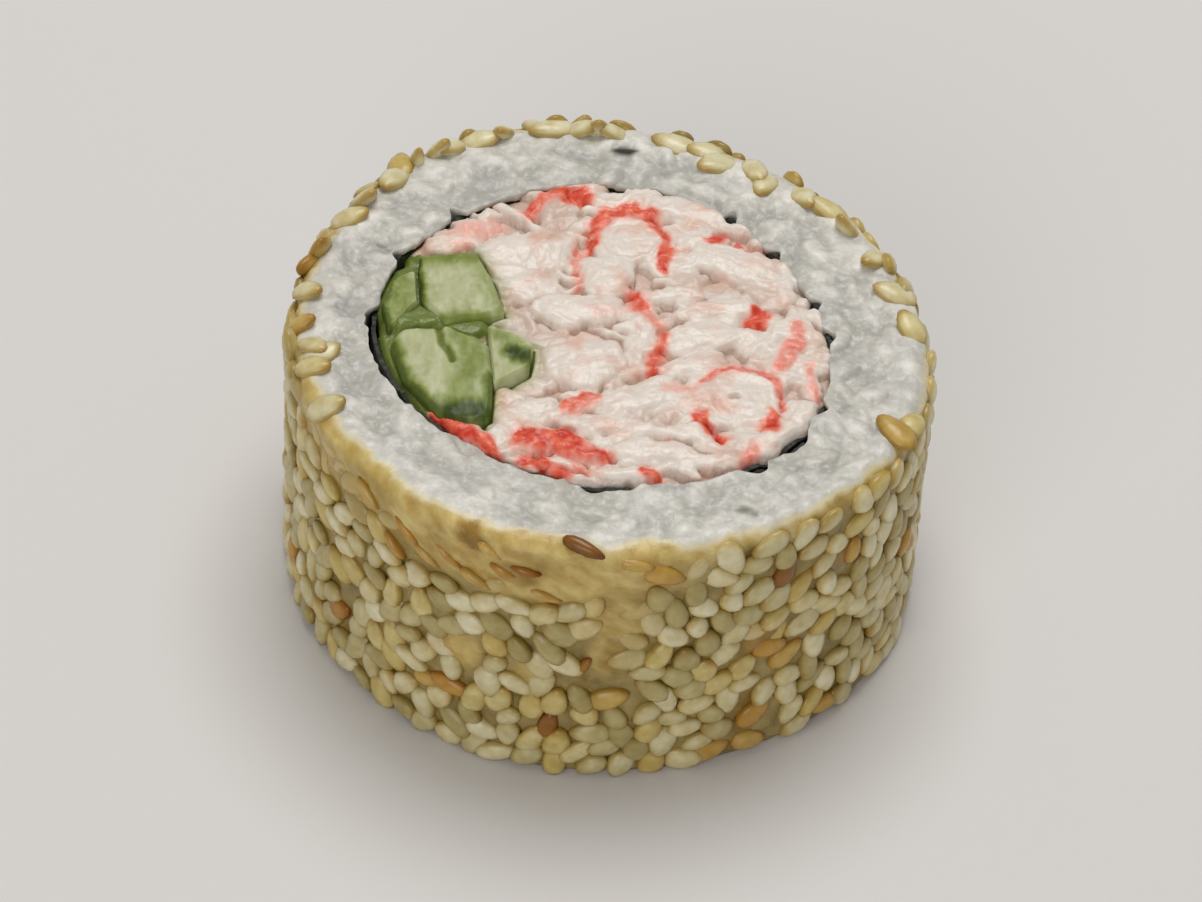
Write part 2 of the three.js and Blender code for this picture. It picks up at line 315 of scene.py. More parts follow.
def blend(tree, first, second, pattern, low=0.0, high=1.0, most=1.0, kind="MIX"):
    """One colour giving way to another where a pattern rises from low to high, by most of it."""
    limits = {"Value": pattern, "From Min": low, "From Max": high, "To Max": most}
    share = add_node(tree, "ShaderNodeMapRange", limits)
    colours = {0: share, 6: first, 7: second}
    return add_node(tree, "ShaderNodeMix", colours, 2, data_type="RGBA", blend_type=kind)


def bumped(tree, *layers):
    """A shader's normal with bumps on it: each layer is (height socket, depth in mm)."""
    normal = {}
    for height, depth_mm in layers:
        bump = {"Height": height, "Strength": 1.0, "Distance": depth_mm * MM, **normal}
        normal = {"Normal": add_node(tree, "ShaderNodeBump", bump)}
    return normal


def cooked_rice(tree):
    # Boiled short-grain rice, mashed by the mat and the knife: grey-white, wet and cloudy, with
    # painted shade where the face lies low, painted light on its raised grains and painted glints
    # among its own white specks. The side wears a film of oil, starch and seed skins, golden and
    # streaked at the rim, dull olive between the seeds and darkened there by painted shade. Dark
    # flecks are painted on the face.
    pale, dark_fleck, coat, gold, brown = carried(tree, "pale", "dark_fleck", "coat", "gold", "brown")
    cloud = speckle(tree, 1.6)
    # Painted shade and light: darker where the face lies low, lighter on its raised grains.
    shaded_sunk = blend(tree, "#afada4", "#c5c1b5", cloud, 0.35, 0.65)
    lit_raised = blend(tree, "#cfcbc0", "#e8e4da", cloud, 0.35, 0.65)
    starch = blend(tree, shaded_sunk, lit_raised, pale)
    # Fine white specks, partly the starch's own and partly painted glints.
    starch = blend(tree, starch, "#f4f1ec", speckle(tree, 0.45, 2.0), 0.52, 0.68, 0.3)
    starch = blend(tree, starch, "#e2e5ee", speckle(tree, 3.6, 2.0), 0.45, 0.62, 0.25, "MULTIPLY")
    starch = blend(tree, starch, "#2c2f26", dark_fleck)
    smears = fibrous(tree, (0.5, 0.95, 1.0), "along", "across")
    streak = add_node(tree, "ShaderNodeMapRange", [smears, 0.28, 0.72])
    smear = speckle(tree, 2.2)
    bright = blend(tree, "#bd9a4a", "#dfcb88", streak)
    dull = blend(tree, "#a5843a", "#c9b068", streak)
    golden = blend(tree, bright, dull, smear, 0.38, 0.66)
    # The olive film between the seeds, darkened further as painted shade in the gaps.
    mash_with_gap_shade = blend(tree, blend(tree, "#75622c", "#99844b", streak), "#aa965e", smear, 0.38, 0.66)
    film = blend(tree, mash_with_gap_shade, golden, gold)
    film = blend(tree, film, blend(tree, "#6c4c0e", "#a47a22", streak), brown)
    film = blend(tree, "#ddcfa4", film, coat, 0.55, 1.0)
    bare = add_node(tree, "ShaderNodeMath", [coat, -0.8, 1.0], operation="MULTIPLY_ADD")
    cells = add_node(tree, "ShaderNodeMath", [pressed_cells(tree, 1.5), bare], operation="MULTIPLY")
    ridges = add_node(tree, "ShaderNodeMath", [streak, coat], operation="MULTIPLY")
    return {
        "Base Color": blend(tree, starch, film, coat, 0.0, 0.55),
        "Roughness": 0.36,
        "IOR": 1.42,
        "Subsurface Weight": 0.3,
        "Subsurface Radius": (1.0, 0.9, 0.75),
        "Subsurface Scale": 0.6 * MM,
        **bumped(tree, (cells, 0.22), (speckle(tree, 0.5, 2.0), 0.07), (ridges, 0.09)),
    }


def sesame(tree):
    # Hulled sesame, lightly toasted: glossy ivory seeds, pale over their crowns and darker and more
    # golden toward the edge, partly where they thin and partly as painted shade where they meet the
    # rice, and golden toward the tip. A few are orange-brown from the pan, and seeds that the oil film
    # runs over take its colour.
    tone, crown, tip, oiled = carried(tree, "tone", "crown", "tip", "oiled")
    toasted = add_node(tree, "ShaderNodeValToRGB", [tone])
    stops = [
        (0.0, "#b3a56c"),
        (0.2, "#c9be8b"),
        (0.55, "#eae4c4"),
        (0.8, "#d5c37c"),
        (0.87, "#cba754"),
        (0.91, "#c4902a"),
        (0.95, "#a06a0c"),
        (1.0, "#5e3200"),
    ]
    elements = toasted.node.color_ramp.elements
    while len(elements) < len(stops):
        elements.new(0.5)
    for element, (place, hex_colour) in zip(elements, stops):
        element.position = place
        element.color = linear(hex_colour)
    colour = blend(tree, toasted, "#e4dabc", speckle(tree, 1.1), 0.3, 0.7, kind="MULTIPLY")
    # Darker toward each seed's edge: partly its thin edge's own golden colour, partly painted contact
    # shade.
    colour = blend(tree, colour, "#e0cf9f", crown, 0.7, 0.2, kind="MULTIPLY")
    colour = blend(tree, colour, "#e6d5aa", tip, 0.45, 1.0, kind="MULTIPLY")
    return {
        "Base Color": blend(tree, colour, "#c2a25a", oiled),
        "Roughness": 0.3,
        "IOR": 1.5,
        "Subsurface Weight": 0.3,
        "Subsurface Radius": (1.0, 0.85, 0.5),
        "Subsurface Scale": 0.4 * MM,
        **bumped(tree, (speckle(tree, 0.5), 0.03)),
    }


def pressed_seaweed(tree):
    # Damp toasted nori: green-black, wrinkled where the rice wetted it.
    return {
        "Base Color": blend(tree, "#171a13", "#2e3325", speckle(tree, 1.2), 0.35, 0.7),
        "Roughness": 0.6,
        **bumped(tree, (speckle(tree, 0.5), 0.12)),
    }


def crab_stick(tree):
    # Shredded surimi in mayonnaise: moist cream flakes with fine fibres, and the stick's skin,
    # which is dyed orange-red and bleeds pink into the flakes beside it. Hollows and low places are
    # greyer with painted shade, and green tints it near the batons, partly cucumber juice and partly
    # painted shade.
    body, hollow_shade, juice_and_shade, red = carried(tree, "body", "hollow_shade", "juice_and_shade", "red")
    fibres = fibrous(tree, (0.35, 3.2, 7.0), "fibre_u", "fibre_v", "number")
    pale = blend(tree, "#e0d2c4", "#eee5db", fibres, 0.3, 0.7, body)
    pale = blend(tree, pale, "#fad8cd", speckle(tree, 2.8), 0.5, 0.7, kind="MULTIPLY")
    # Painted shade: greyer in the hollows and where the flakes lie low.
    pale = blend(tree, pale, "#c4a08c", hollow_shade)
    # Green near the batons, partly cucumber juice and partly painted shade, darkest where the filling
    # sinks under and between them.
    pale = blend(tree, pale, "#a4a76c", juice_and_shade, 0.0, 0.5, 0.6)
    pale = blend(tree, pale, "#6e7c38", juice_and_shade, 0.5, 0.8)
    scarlet = blend(tree, "#cf3b26", "#f07a5c", speckle(tree, 0.8), 0.35, 0.7)
    bled = blend(tree, pale, "#f0b3a2", red, 0.0, 0.45)
    return {
        "Base Color": blend(tree, bled, scarlet, red, 0.35, 0.85),
        "Roughness": 0.28,
        "IOR": 1.4,
        "Subsurface Weight": 0.35,
        "Subsurface Radius": (1.0, 0.75, 0.6),
        "Subsurface Scale": 0.8 * MM,
        **bumped(tree, (speckle(tree, 0.9), 0.16)),
    }


def cucumber_flesh(tree):
    # Fresh cucumber cut in batons: glassy pale flesh, green toward the peel and darkest at it.
    (depth,) = carried(tree, "green")
    streak = add_node(tree, "ShaderNodeMapRange", [speckle(tree, 1.1, 4.0, (1.5, 0.6, 1)), 0.25, 0.75])
    flesh = blend(tree, "#a6aa74", "#c6c9a4", streak)
    green = blend(tree, "#717f36", "#939e52", streak)
    peel = blend(tree, "#2a3b08", "#4a5a15", streak)
    return {
        "Base Color": blend(tree, blend(tree, flesh, green, depth, 0.0, 0.5), peel, depth, 0.5, 1.0),
        "Roughness": 0.42,
        "IOR": 1.36,
        "Subsurface Weight": 0.4,
        "Subsurface Radius": (0.9, 1.0, 0.5),
        "Subsurface Scale": 1.0 * MM,
        **bumped(tree, (streak, 0.03), (speckle(tree, 0.6), 0.02)),
    }


RICE = surface("cooked sushi rice", cooked_rice)
SESAME = surface("toasted sesame", sesame)
NORI = surface("damp nori", pressed_seaweed)
CRAB = surface("shredded crab stick", crab_stick)
CUCUMBER = surface("fresh cucumber", cucumber_flesh)
# The floor is painted pale and matt all over
FLOOR = surface("pale matt floor", lambda tree: {"Base Color": "#dcd9d6", "Roughness": 0.7})


# The rice ring

RICE_AROUND = 540
SIDE_ROWS = 62
EDGE_ROWS = 7
FACE_ROWS = 41
PRESSED_GRAINS = 520
STREAK_SLOPE = math.radians(30)

# Smooth film that hides the seeds: (angle, height, half-width in degrees, half-height, strength)
FILM_PATCHES = [
    (250, 20.4, 38, 4.2, 1),
    (212, 20.4, 26, 3.4, 0.8),
    (270, 15.5, 7, 2.6, 0.8),
    (241, 10, 5, 2, 1),
    (268, 12.2, 4, 2.2, 0.8),
    (254, 9.6, 3, 1.6, 0.8),
    (296, 11.8, 5, 1.5, 0.7),
]


def side_point(angle, height):
    """A place on the side at a height measured up it, over its round edge and in over the face."""
    turn = np.clip((height - (SLICE_HEIGHT - EDGE_ROUND)) / EDGE_ROUND, 0, math.pi / 2)
    over = np.maximum(0, height - (SLICE_HEIGHT - EDGE_ROUND) - EDGE_ROUND * math.pi / 2)
    below = np.minimum(height, SLICE_HEIGHT - EDGE_ROUND)
    radius = rice_side(angle) - EDGE_ROUND * (1 - np.cos(turn)) - over
    return radius, below + EDGE_ROUND * np.sin(turn), turn


# Places on the side that the pan has browned: (angle, height, half-width, half-height, strength)
BROWN_PATCHES = [
    (252, 19.4, 5, 1, 0.45),
    (243, 20.9, 3, 0.8, 0.5),
    (233, 17, 4, 1.2, 0.25),
    (277, 19.9, 5, 1, 0.45),
    (242, 21.2, 3, 1, 0.75),
    (251, 21, 3, 0.8, 0.4),
    (236, 19.4, 4, 0.8, 0.35),
    (227, 18.6, 3, 0.8, 0.3),
    (249, 18.4, 6, 0.5, 0.5),
    (296, 11.4, 5, 2.4, 0.75),
    (294, 4.6, 3.5, 2.8, 0.65),
    (269, 12, 3, 2.2, 0.5),
    (264, 10.6, 2, 1.4, 0.5),
    (336, 10, 4, 1.6, 0.7),
    (290, 1, 6, 1, 0.4),
    (211, 5, 5, 2.2, 0.6),
    (312, 17.2, 3.5, 1.8, 0.6),
    (160, 12, 6, 2, 0.5),
    (95, 16, 8, 2, 0.5),
    (40, 8, 6, 2.4, 0.5),
]


def patch_cover(angle, height, patches):
    """How strongly patches of the side cover each place on it."""
    cover = np.zeros_like(angle)
    for place, level, half, tall, strength in patches:
        reach = np.hypot(degrees_from(place, angle) / half, (height - level) / tall)
        cover = np.maximum(cover, strength * (1 - smoothstep(0.55, 1.15, reach)))
    return cover


# Dark flecks painted on the rice: (strength, width, places along), in mm on the cut face
DARK_FLECKS = [
    (1, 0.95, (1.9, 18.8), (2.6, 18.6)),
    (0.55, 0.6, (8, -17.8), (8.9, -18.3)),
    (0.4, 0.4, (15.6, -8.6), (16.3, -8)),
    (0.45, 0.35, (-15.3, 8.2), (-15.9, 8.9)),
]


def grain_relief(x, y):
    """Height of pressed-in rice grains over the cut face, as the highest of many low ellipsoids."""
    random = np.random.default_rng(31)
    height = np.zeros_like(x)
    for _ in range(PRESSED_GRAINS):
        angle = random.uniform(0, 2 * math.pi)
        radius = math.sqrt(random.uniform(15.5**2, 22.0**2))
        turn = angle + random.uniform(-1.3, 1.3) + math.pi / 2
        half_long = GRAIN_LENGTH / 2 * random.uniform(0.45, 0.9)
        half_wide = GRAIN_WIDTH / 2 * random.uniform(0.6, 0.95)
        proud = random.uniform(0.15, 0.55)
        dx = x - radius * math.cos(angle)
        dy = y - radius * math.sin(angle)
        u = (dx * math.cos(turn) + dy * math.sin(turn)) / half_long
        v = (dy * math.cos(turn) - dx * math.sin(turn)) / half_wide
        height = np.maximum(height, proud * np.sqrt(np.clip(1 - u * u - v * v, 0, 1)))
    return height


def rice_section(angle):
    """Rows of points round the ring: up the side, in over the face, down the hole, back below."""
    side = rice_side(angle)
    hole = rice_hole(angle)
    shown, gap = nori_shows(angle)
    ragged = rough(round_roll(NOISE_RING, angle, 0), 1.0, 3, 4.0)
    lip = hole + gap * (0.8 + 0.5 * ragged) - (1 - shown) * (0.5 + 0.2 * ragged)
    level = np.ones_like(angle)
    up = np.linspace(FOOT_ROUND, SLICE_HEIGHT - EDGE_ROUND, SIDE_ROWS)
    rows = [(side, level * h) for h in up]
    for turn in np.linspace(0, math.pi / 2, EDGE_ROWS + 1)[1:]:
        drop = EDGE_ROUND * (1 - math.sin(turn))
        rows.append((side - EDGE_ROUND * (1 - math.cos(turn)), level * (SLICE_HEIGHT - drop)))
    edge = side - EDGE_ROUND
    inward = np.linspace(0, 1, FACE_ROWS + 1)[1:]
    rows += [(edge + (lip - edge) * s, level * SLICE_HEIGHT) for s in inward]
    rows.append((lip + 0.02, level * (SLICE_HEIGHT - 0.5)))
    below_lip = np.maximum(hole, hole + gap * 0.6)
    rows += [(below_lip, level * h) for h in (SLICE_HEIGHT - 0.8, SLICE_HEIGHT - 2.5, 11.0, 0.0)]
    rows += [(hole + (side - FOOT_ROUND - hole) * s, level * 0) for s in (0.35, 0.7, 1.0)]
    rows.append((side - FOOT_ROUND * 0.3, level * FOOT_ROUND * 0.3))
    return np.array([r for r, _ in rows]), np.array([z for _, z in rows])


def rice_ring():
    """The ring of rice with its film, its pressed grains and the values that its material reads."""
    angle = np.arange(RICE_AROUND) / RICE_AROUND * 2 * math.pi
    radius, z = rice_section(angle)
    around = np.broadcast_to(angle, radius.shape)
    points = round_roll(radius, around, z)
    flat = points.reshape(-1, 3)
    lumps = rough(flat, 3.2, 3, 2.0).reshape(radius.shape)
    fine = rough(flat, 0.9, 2, 9.0).reshape(radius.shape)
    slanting = np.column_stack([flat[:, 0] + 0.6 * flat[:, 2], flat[:, 1], 2.2 * flat[:, 2]])
    streaks = rough(slanting, 2.4, 2, 5.0).reshape(radius.shape)
    row = np.arange(len(radius))[:, None]
    edge_row = SIDE_ROWS - 1
    face_row = edge_row + EDGE_ROWS
    lip_row = face_row + FACE_ROWS + 1
    on_side = row < face_row
    on_face = (row >= edge_row + 3) & (row <= lip_row)
    film = patch_cover(around, z, FILM_PATCHES)
    swell = 0.22 * lumps + 0.09 * fine - 0.08 + film * (0.26 + 0.12 * streaks)
    points += (on_side * swell)[..., None] * round_roll(1, around, 0)
    inner = smoothstep(-0.2, 1.4, rice_side(angle) - EDGE_ROUND - radius)
    warp = 0.25 * lumps
    grains = grain_relief(points[..., 0] + warp, points[..., 1] - warp)
    face_height = (0.8 * grains - 0.3 + 0.24 * lumps + 0.07 * fine) * (0.35 + 0.65 * inner)
    points[..., 2] += on_face * face_height
    points[..., 2] = np.maximum(points[..., 2], 0)
    inside_rim = rice_side(angle) - radius
    golden_edge = 0.7 * patch_cover(around, np.full_like(z, 20.4), FILM_PATCHES[:2])
    coat = 1 - smoothstep(0.0, 0.85, inside_rim - golden_edge + 0.5 * lumps + 0.12 * fine)
    coat = np.where(row < edge_row, 1.0, coat)
    coat = np.where(row > lip_row, 0.0, coat)
    coat[-2:] = 1
    gold = np.maximum(film, smoothstep(SLICE_HEIGHT - 1.8, SLICE_HEIGHT - 0.4, z + 0.6 * lumps))
    brown = patch_cover(around + 0.03 * lumps, z + 0.5 * fine, BROWN_PATCHES)
    near_nori = smoothstep(4.5, 1.0, radius - rice_hole(angle))
    # Painted shade and light on the face: paler where it stands high, darker where it lies low, and
    # greyer toward the nori.
    pale = smoothstep(-0.4, 0.25, face_height + 0.12 * fine - 0.2 * near_nori)
    arc = RICE_RADIUS * ((around - math.pi / 2) % (2 * math.pi))
    dark_fleck = strokes_over(points[..., 0] + 0.3 * fine, points[..., 1], DARK_FLECKS) * on_face
    values = {
        "along": arc * math.cos(STREAK_SLOPE) - z * math.sin(STREAK_SLOPE),
        "across": arc * math.sin(STREAK_SLOPE) + z * math.cos(STREAK_SLOPE),
        "dark_fleck": dark_fleck,
        "coat": coat,
        "gold": gold,
        "brown": brown,
        "pale": pale,
    }
    return mesh_object("rice", points.reshape(-1, 3), ring_faces(len(radius), RICE_AROUND), values)


rice = rice_ring()
dress(rice, RICE, "rice", "sesame_rice")


# Sesame seeds: a coat on the side, each place on it as (angle in degrees, height)

# How close the scattered seeds lie, how deep they sit, and how deep the film buries them
SEED_SPACING = 1.66
SEED_SUNK = 0.03
SEED_BURIED = 0.42

# The carrier's grid, the room round each listed seed, and the middle of the side that the
# photograph shows
CARRIER_ROWS = 44
CARRIER_COLUMNS = 240
SEED_CLEARANCE = 1.5
PHOTO_SIDE = 255
TOASTED_ELSEWHERE = 18

# Seeds set one by one: (angle, height, turn from level, tip raised by, tone, length, width), with
# angles in degrees and sizes as shares of the usual. The toasted ones are placed from the
# photograph, and others stand or lie on the rim.
PLACED_SEEDS = [
    (300, 17.5, 75, 0, 0.965, 0.95, 0.85),
    (262.5, 22.1, -22, 0, 0.967, 1.05, 0.52),
    (252.6, 19.6, -8, 0, 0.95, 0.75, 0.35),
    (248.6, 19.1, -15, 0, 0.9, 0.7, 0.4),
    (277, 19.9, -20, 0, 0.88, 1.1, 0.9),
    (258, 4.8, 80, 0, 0.955, 0.9, 0.7),
    (239.3, 5.9, -5, 0, 0.9, 1.1, 0.75),
    (234.4, 5.5, 12, 0, 0.875, 0.8, 0.7),
    (211, 5.6, 40, 0, 0.93, 0.95, 0.85),
    (298.3, 10.4, -12, 0, 0.895, 0.95, 0.9),
    (301.8, 9, 30, 0, 0.86, 1, 0.9),
    (296.2, 4, 42, 0, 0.89, 1, 0.95),
    (263.8, 11.2, 60, 0, 0.945, 0.6, 0.4),
    (268.5, 7.8, 20, 0, 0.85, 1, 0.95),
    (288, 1.4, 18, 0, 0.875, 1, 0.95),
    (295.6, 1.3, -20, 0, 0.86, 0.95, 0.9),
    (312.7, 1.5, -12, 0, 0.87, 1.1, 0.8),
    (315.3, 16.2, 80, 0, 0.875, 0.8, 0.7),
    (335, 10.6, 60, 0, 0.88, 0.9, 0.8),
    (338.4, 9.2, 120, 0, 0.9, 0.8, 0.7),
    (331.5, 22.5, 70, 0, 0.85, 1.15, 1),
    (229, 18.9, -32, 0, 0.9, 0.9, 0.3),
    (233.5, 17.6, -28, 0, 0.87, 0.85, 0.35),
    (238, 18.6, -35, 0, 0.885, 0.8, 0.3),
    (243.5, 17.4, -20, 0, 0.86, 0.9, 0.4),
    (226, 16.6, -40, 0, 0.88, 0.8, 0.35),
    (256.5, 17.6, -15, 0, 0.87, 0.8, 0.35),
    (246, 20.6, -25, 0, 0.86, 0.7, 0.35),
    (219, 19.6, -30, 0, 0.85, 0.9, 0.4),
    (272, 21, -10, 0, 0.86, 0.9, 0.45),
    (89, 22.7, 90, 62, 0.52, 1.1, 0.9),
    (92.5, 22.7, 150, 32, 0.5, 1.1, 0.9),
    (85.5, 22.9, 12, 35, 0.52, 1.1, 0.8),
    (98, 22.7, 4, 6, 0.52, 1.2, 0.9),
    (73, 22.9, -6, 6, 0.52, 1.25, 0.95),
    (63, 23.6, 55, 15, 0.5, 1.15, 1.1),
    (66.5, 22.8, 15, 10, 0.6, 1, 0.9),
    (55, 22.9, 140, 12, 0.52, 1.1, 0.9),
    (51, 23.8, 100, 10, 0.6, 0.9, 0.9),
    (30.3, 22.7, 95, 62, 0.6, 1.2, 1),
    (37, 22.6, 20, 12, 0.7, 1.1, 0.9),
    (42.5, 22.9, 160, 18, 0.52, 1, 0.9),
    (20, 22.7, 120, 25, 0.5, 1.1, 0.9),
    (9.5, 22.8, 60, 12, 0.5, 1.1, 1),
    (0, 22.5, 30, 15, 0.7, 1, 1),
    (107.5, 22.5, 60, 38, 0.52, 1.1, 0.8),
    (112.5, 22.8, 160, 15, 0.6, 1, 0.9),
    (118.5, 22.5, 30, 22, 0.52, 1.1, 1),
    (121.2, 22.4, 100, 48, 0.55, 1.15, 1),
    (126, 22.3, 85, 52, 0.52, 1.1, 0.5),
    (133, 22.7, 20, 15, 0.5, 1.1, 1),
    (141, 22.4, 80, 42, 0.5, 1.15, 1),
    (147, 22.6, 130, 20, 0.65, 1, 0.9),
    (157, 21.9, 60, 38, 0.83, 1.2, 1.1),
    (160, 21.2, 20, 22, 0.86, 1, 1),
    (169, 22.3, 60, 18, 0.6, 1, 0.9),
    (178.3, 22, 82, 14, 0.845, 1, 0.8),
    (184.6, 22.9, 30, 25, 0.6, 1, 0.9),
    (187.4, 23.3, 110, 18, 0.5, 1, 1),
    (190.2, 22.5, 60, 15, 0.7, 0.95, 0.9),
    (201, 22.1, 70, 6, 0.45, 1.05, 1),
]


def seed_carrier():
    """The side as a bare surface that carries the seeds, and a loose point for each placed one."""
    angle = np.arange(CARRIER_COLUMNS) / CARRIER_COLUMNS * 2 * math.pi
    heights = np.linspace(0.85, SLICE_HEIGHT + 0.2, CARRIER_ROWS)
    around, height = (grid.ravel() for grid in np.meshgrid(angle, heights))
    random = np.random.default_rng(41)
    elsewhere = [
        (random.uniform(-20, 190), random.uniform(2, 20), random.uniform(0, 180), 0, tone, 1, 0.9)
        for tone in random.uniform(0.86, 0.96, TOASTED_ELSEWHERE)
    ]
    placed = np.array(PLACED_SEEDS + elsewhere)
    free = np.ones_like(around)
    for place, level in placed[:, :2]:
        away = np.radians(degrees_from(place, around)) * RICE_RADIUS
        free = np.minimum(free, np.hypot(away, height - level) > SEED_CLEARANCE)
    film = patch_cover(around, height, FILM_PATCHES)
    at_back = smoothstep(45, 70, np.abs(degrees_from(PHOTO_SIDE, around)))
    near_rim = smoothstep(SLICE_HEIGHT - 1.6, SLICE_HEIGHT, height)
    hidden = film * (0.45 + 0.75 * smoothstep(SLICE_HEIGHT - 2.5, SLICE_HEIGHT - 1, height))
    below_face = 1 - smoothstep(20.9, 21.6, height - 0.4 * at_back)
    angles = np.append(around, np.radians(placed[:, 0]))
    radius, z, over_edge = side_point(angles, np.append(height, placed[:, 1]))
    points = round_roll(radius, angles, z)
    clumps = rough(points[: film.size], 4.5, 2, 11.0)
    cover = np.maximum(0, 1 - hidden) * below_face * free * (0.92 + 0.2 * clumps)

    def for_all(scattered, by_hand):
        """A value for each place on the side, and then one for each listed seed."""
        return np.append(np.broadcast_to(scattered, film.size), np.broadcast_to(by_hand, len(placed)))

    values = {
        "cover": for_all(cover, 0),
        "bury": for_all(film, 0),
        "tone_set": for_all(0, placed[:, 4]),
        "spin_set": for_all(0, np.radians(placed[:, 0] + placed[:, 2])),
        "lean_set": for_all(0, np.radians(placed[:, 3])),
        "length_set": for_all(0, placed[:, 5]),
        "width_set": for_all(0, placed[:, 6]),
        "by_hand": for_all(0, 1),
        "upward": np.sin(over_edge),
        "outward": np.cos(over_edge),
        "ruffle": for_all(0.22 + 0.5 * near_rim * at_back, 0),
    }
    faces = ring_faces(CARRIER_ROWS, CARRIER_COLUMNS, close_rows=False)
    return mesh_object("sesame_seeds", points, faces, values)


def turned(tree, rotation, euler):
    """A rotation turned further about its own axes by Euler angles."""
    turn = add_node(tree, "FunctionNodeEulerToRotation", [euler])
    steps = {"Rotation": rotation, "Rotate By": turn}
    return add_node(tree, "FunctionNodeRotateRotation", steps, rotation_space="LOCAL")


def new_tree(name, **inputs):
    """A geometry node tree that takes a geometry and these named inputs."""
    tree = bpy.data.node_groups.new(name, "GeometryNodeTree")
    for label, kind in {"Geometry": "Geometry", **inputs}.items():
        tree.interface.new_socket(label, in_out="INPUT", socket_type="NodeSocket" + kind)
    tree.interface.new_socket("Geometry", in_out="OUTPUT", socket_type="NodeSocketGeometry")
    return tree, tree.nodes.new("NodeGroupInput").outputs


def seed_shape(tree, given, place):
    """One sesame seed along Y: a flat ball, narrower toward one end."""
    ball = add_node(tree, "GeometryNodeMeshUVSphere", {"Segments": 10, "Rings": 7})
    upright = {"Geometry": ball, "Rotation": (math.pi / 2, 0, 0)}
    shape = add_node(tree, "GeometryNodeTransform", upright)
    along, above = [add_node(tree, "ShaderNodeSeparateXYZ", [place], axis) for axis in "YZ"]
    crown = add_node(tree, "ShaderNodeMath", [above], operation="ABSOLUTE")
    for name, value in (("crown", crown), ("tip", along)):
        mark = {"Geometry": shape, "Name": name, "Value": value}
        shape = add_node(tree, "GeometryNodeStoreNamedAttribute", mark, data_type="FLOAT")
    narrowing = add_node(tree, "ShaderNodeMath", [along, -SEED_TAPER, 1.0], operation="MULTIPLY_ADD")
    width = add_node(tree, "ShaderNodeMath", [given["Width"], narrowing], operation="MULTIPLY")
    size = add_node(tree, "ShaderNodeCombineXYZ", [width, given["Length"], given["Thickness"]])
    full = add_node(tree, "ShaderNodeVectorMath", [place, size], operation="MULTIPLY")
    half = add_node(tree, "ShaderNodeVectorMath", {0: full, "Scale": 0.5}, operation="SCALE")
    return add_node(tree, "GeometryNodeSetPosition", {"Geometry": shape, "Position": half})


def seed_points(tree, given, cover, by_hand):
    """Points scattered over the carrier where it is covered, and its loose points for the listed
    seeds.
    """
    sown = {
        "Mesh": given["Geometry"],
        "Distance Min": given["Spacing"],
        "Density Max": 4.0e6,
        "Density Factor": cover,
        "Seed": given["Seed"],
    }
    scattered = add_node(
        tree, "GeometryNodeDistributePointsOnFaces", sown, distribute_method="POISSON"
    )
    chosen = add_node(tree, "ShaderNodeMath", [by_hand, 0.5], operation="GREATER_THAN")
    picked = {"Mesh": given["Geometry"], "Selection": chosen}
    joined = add_node(tree, "GeometryNodeJoinGeometry", [scattered])
    tree.links.new(add_node(tree, "GeometryNodeMeshToPoints", picked), joined.node.inputs[0])
    return joined


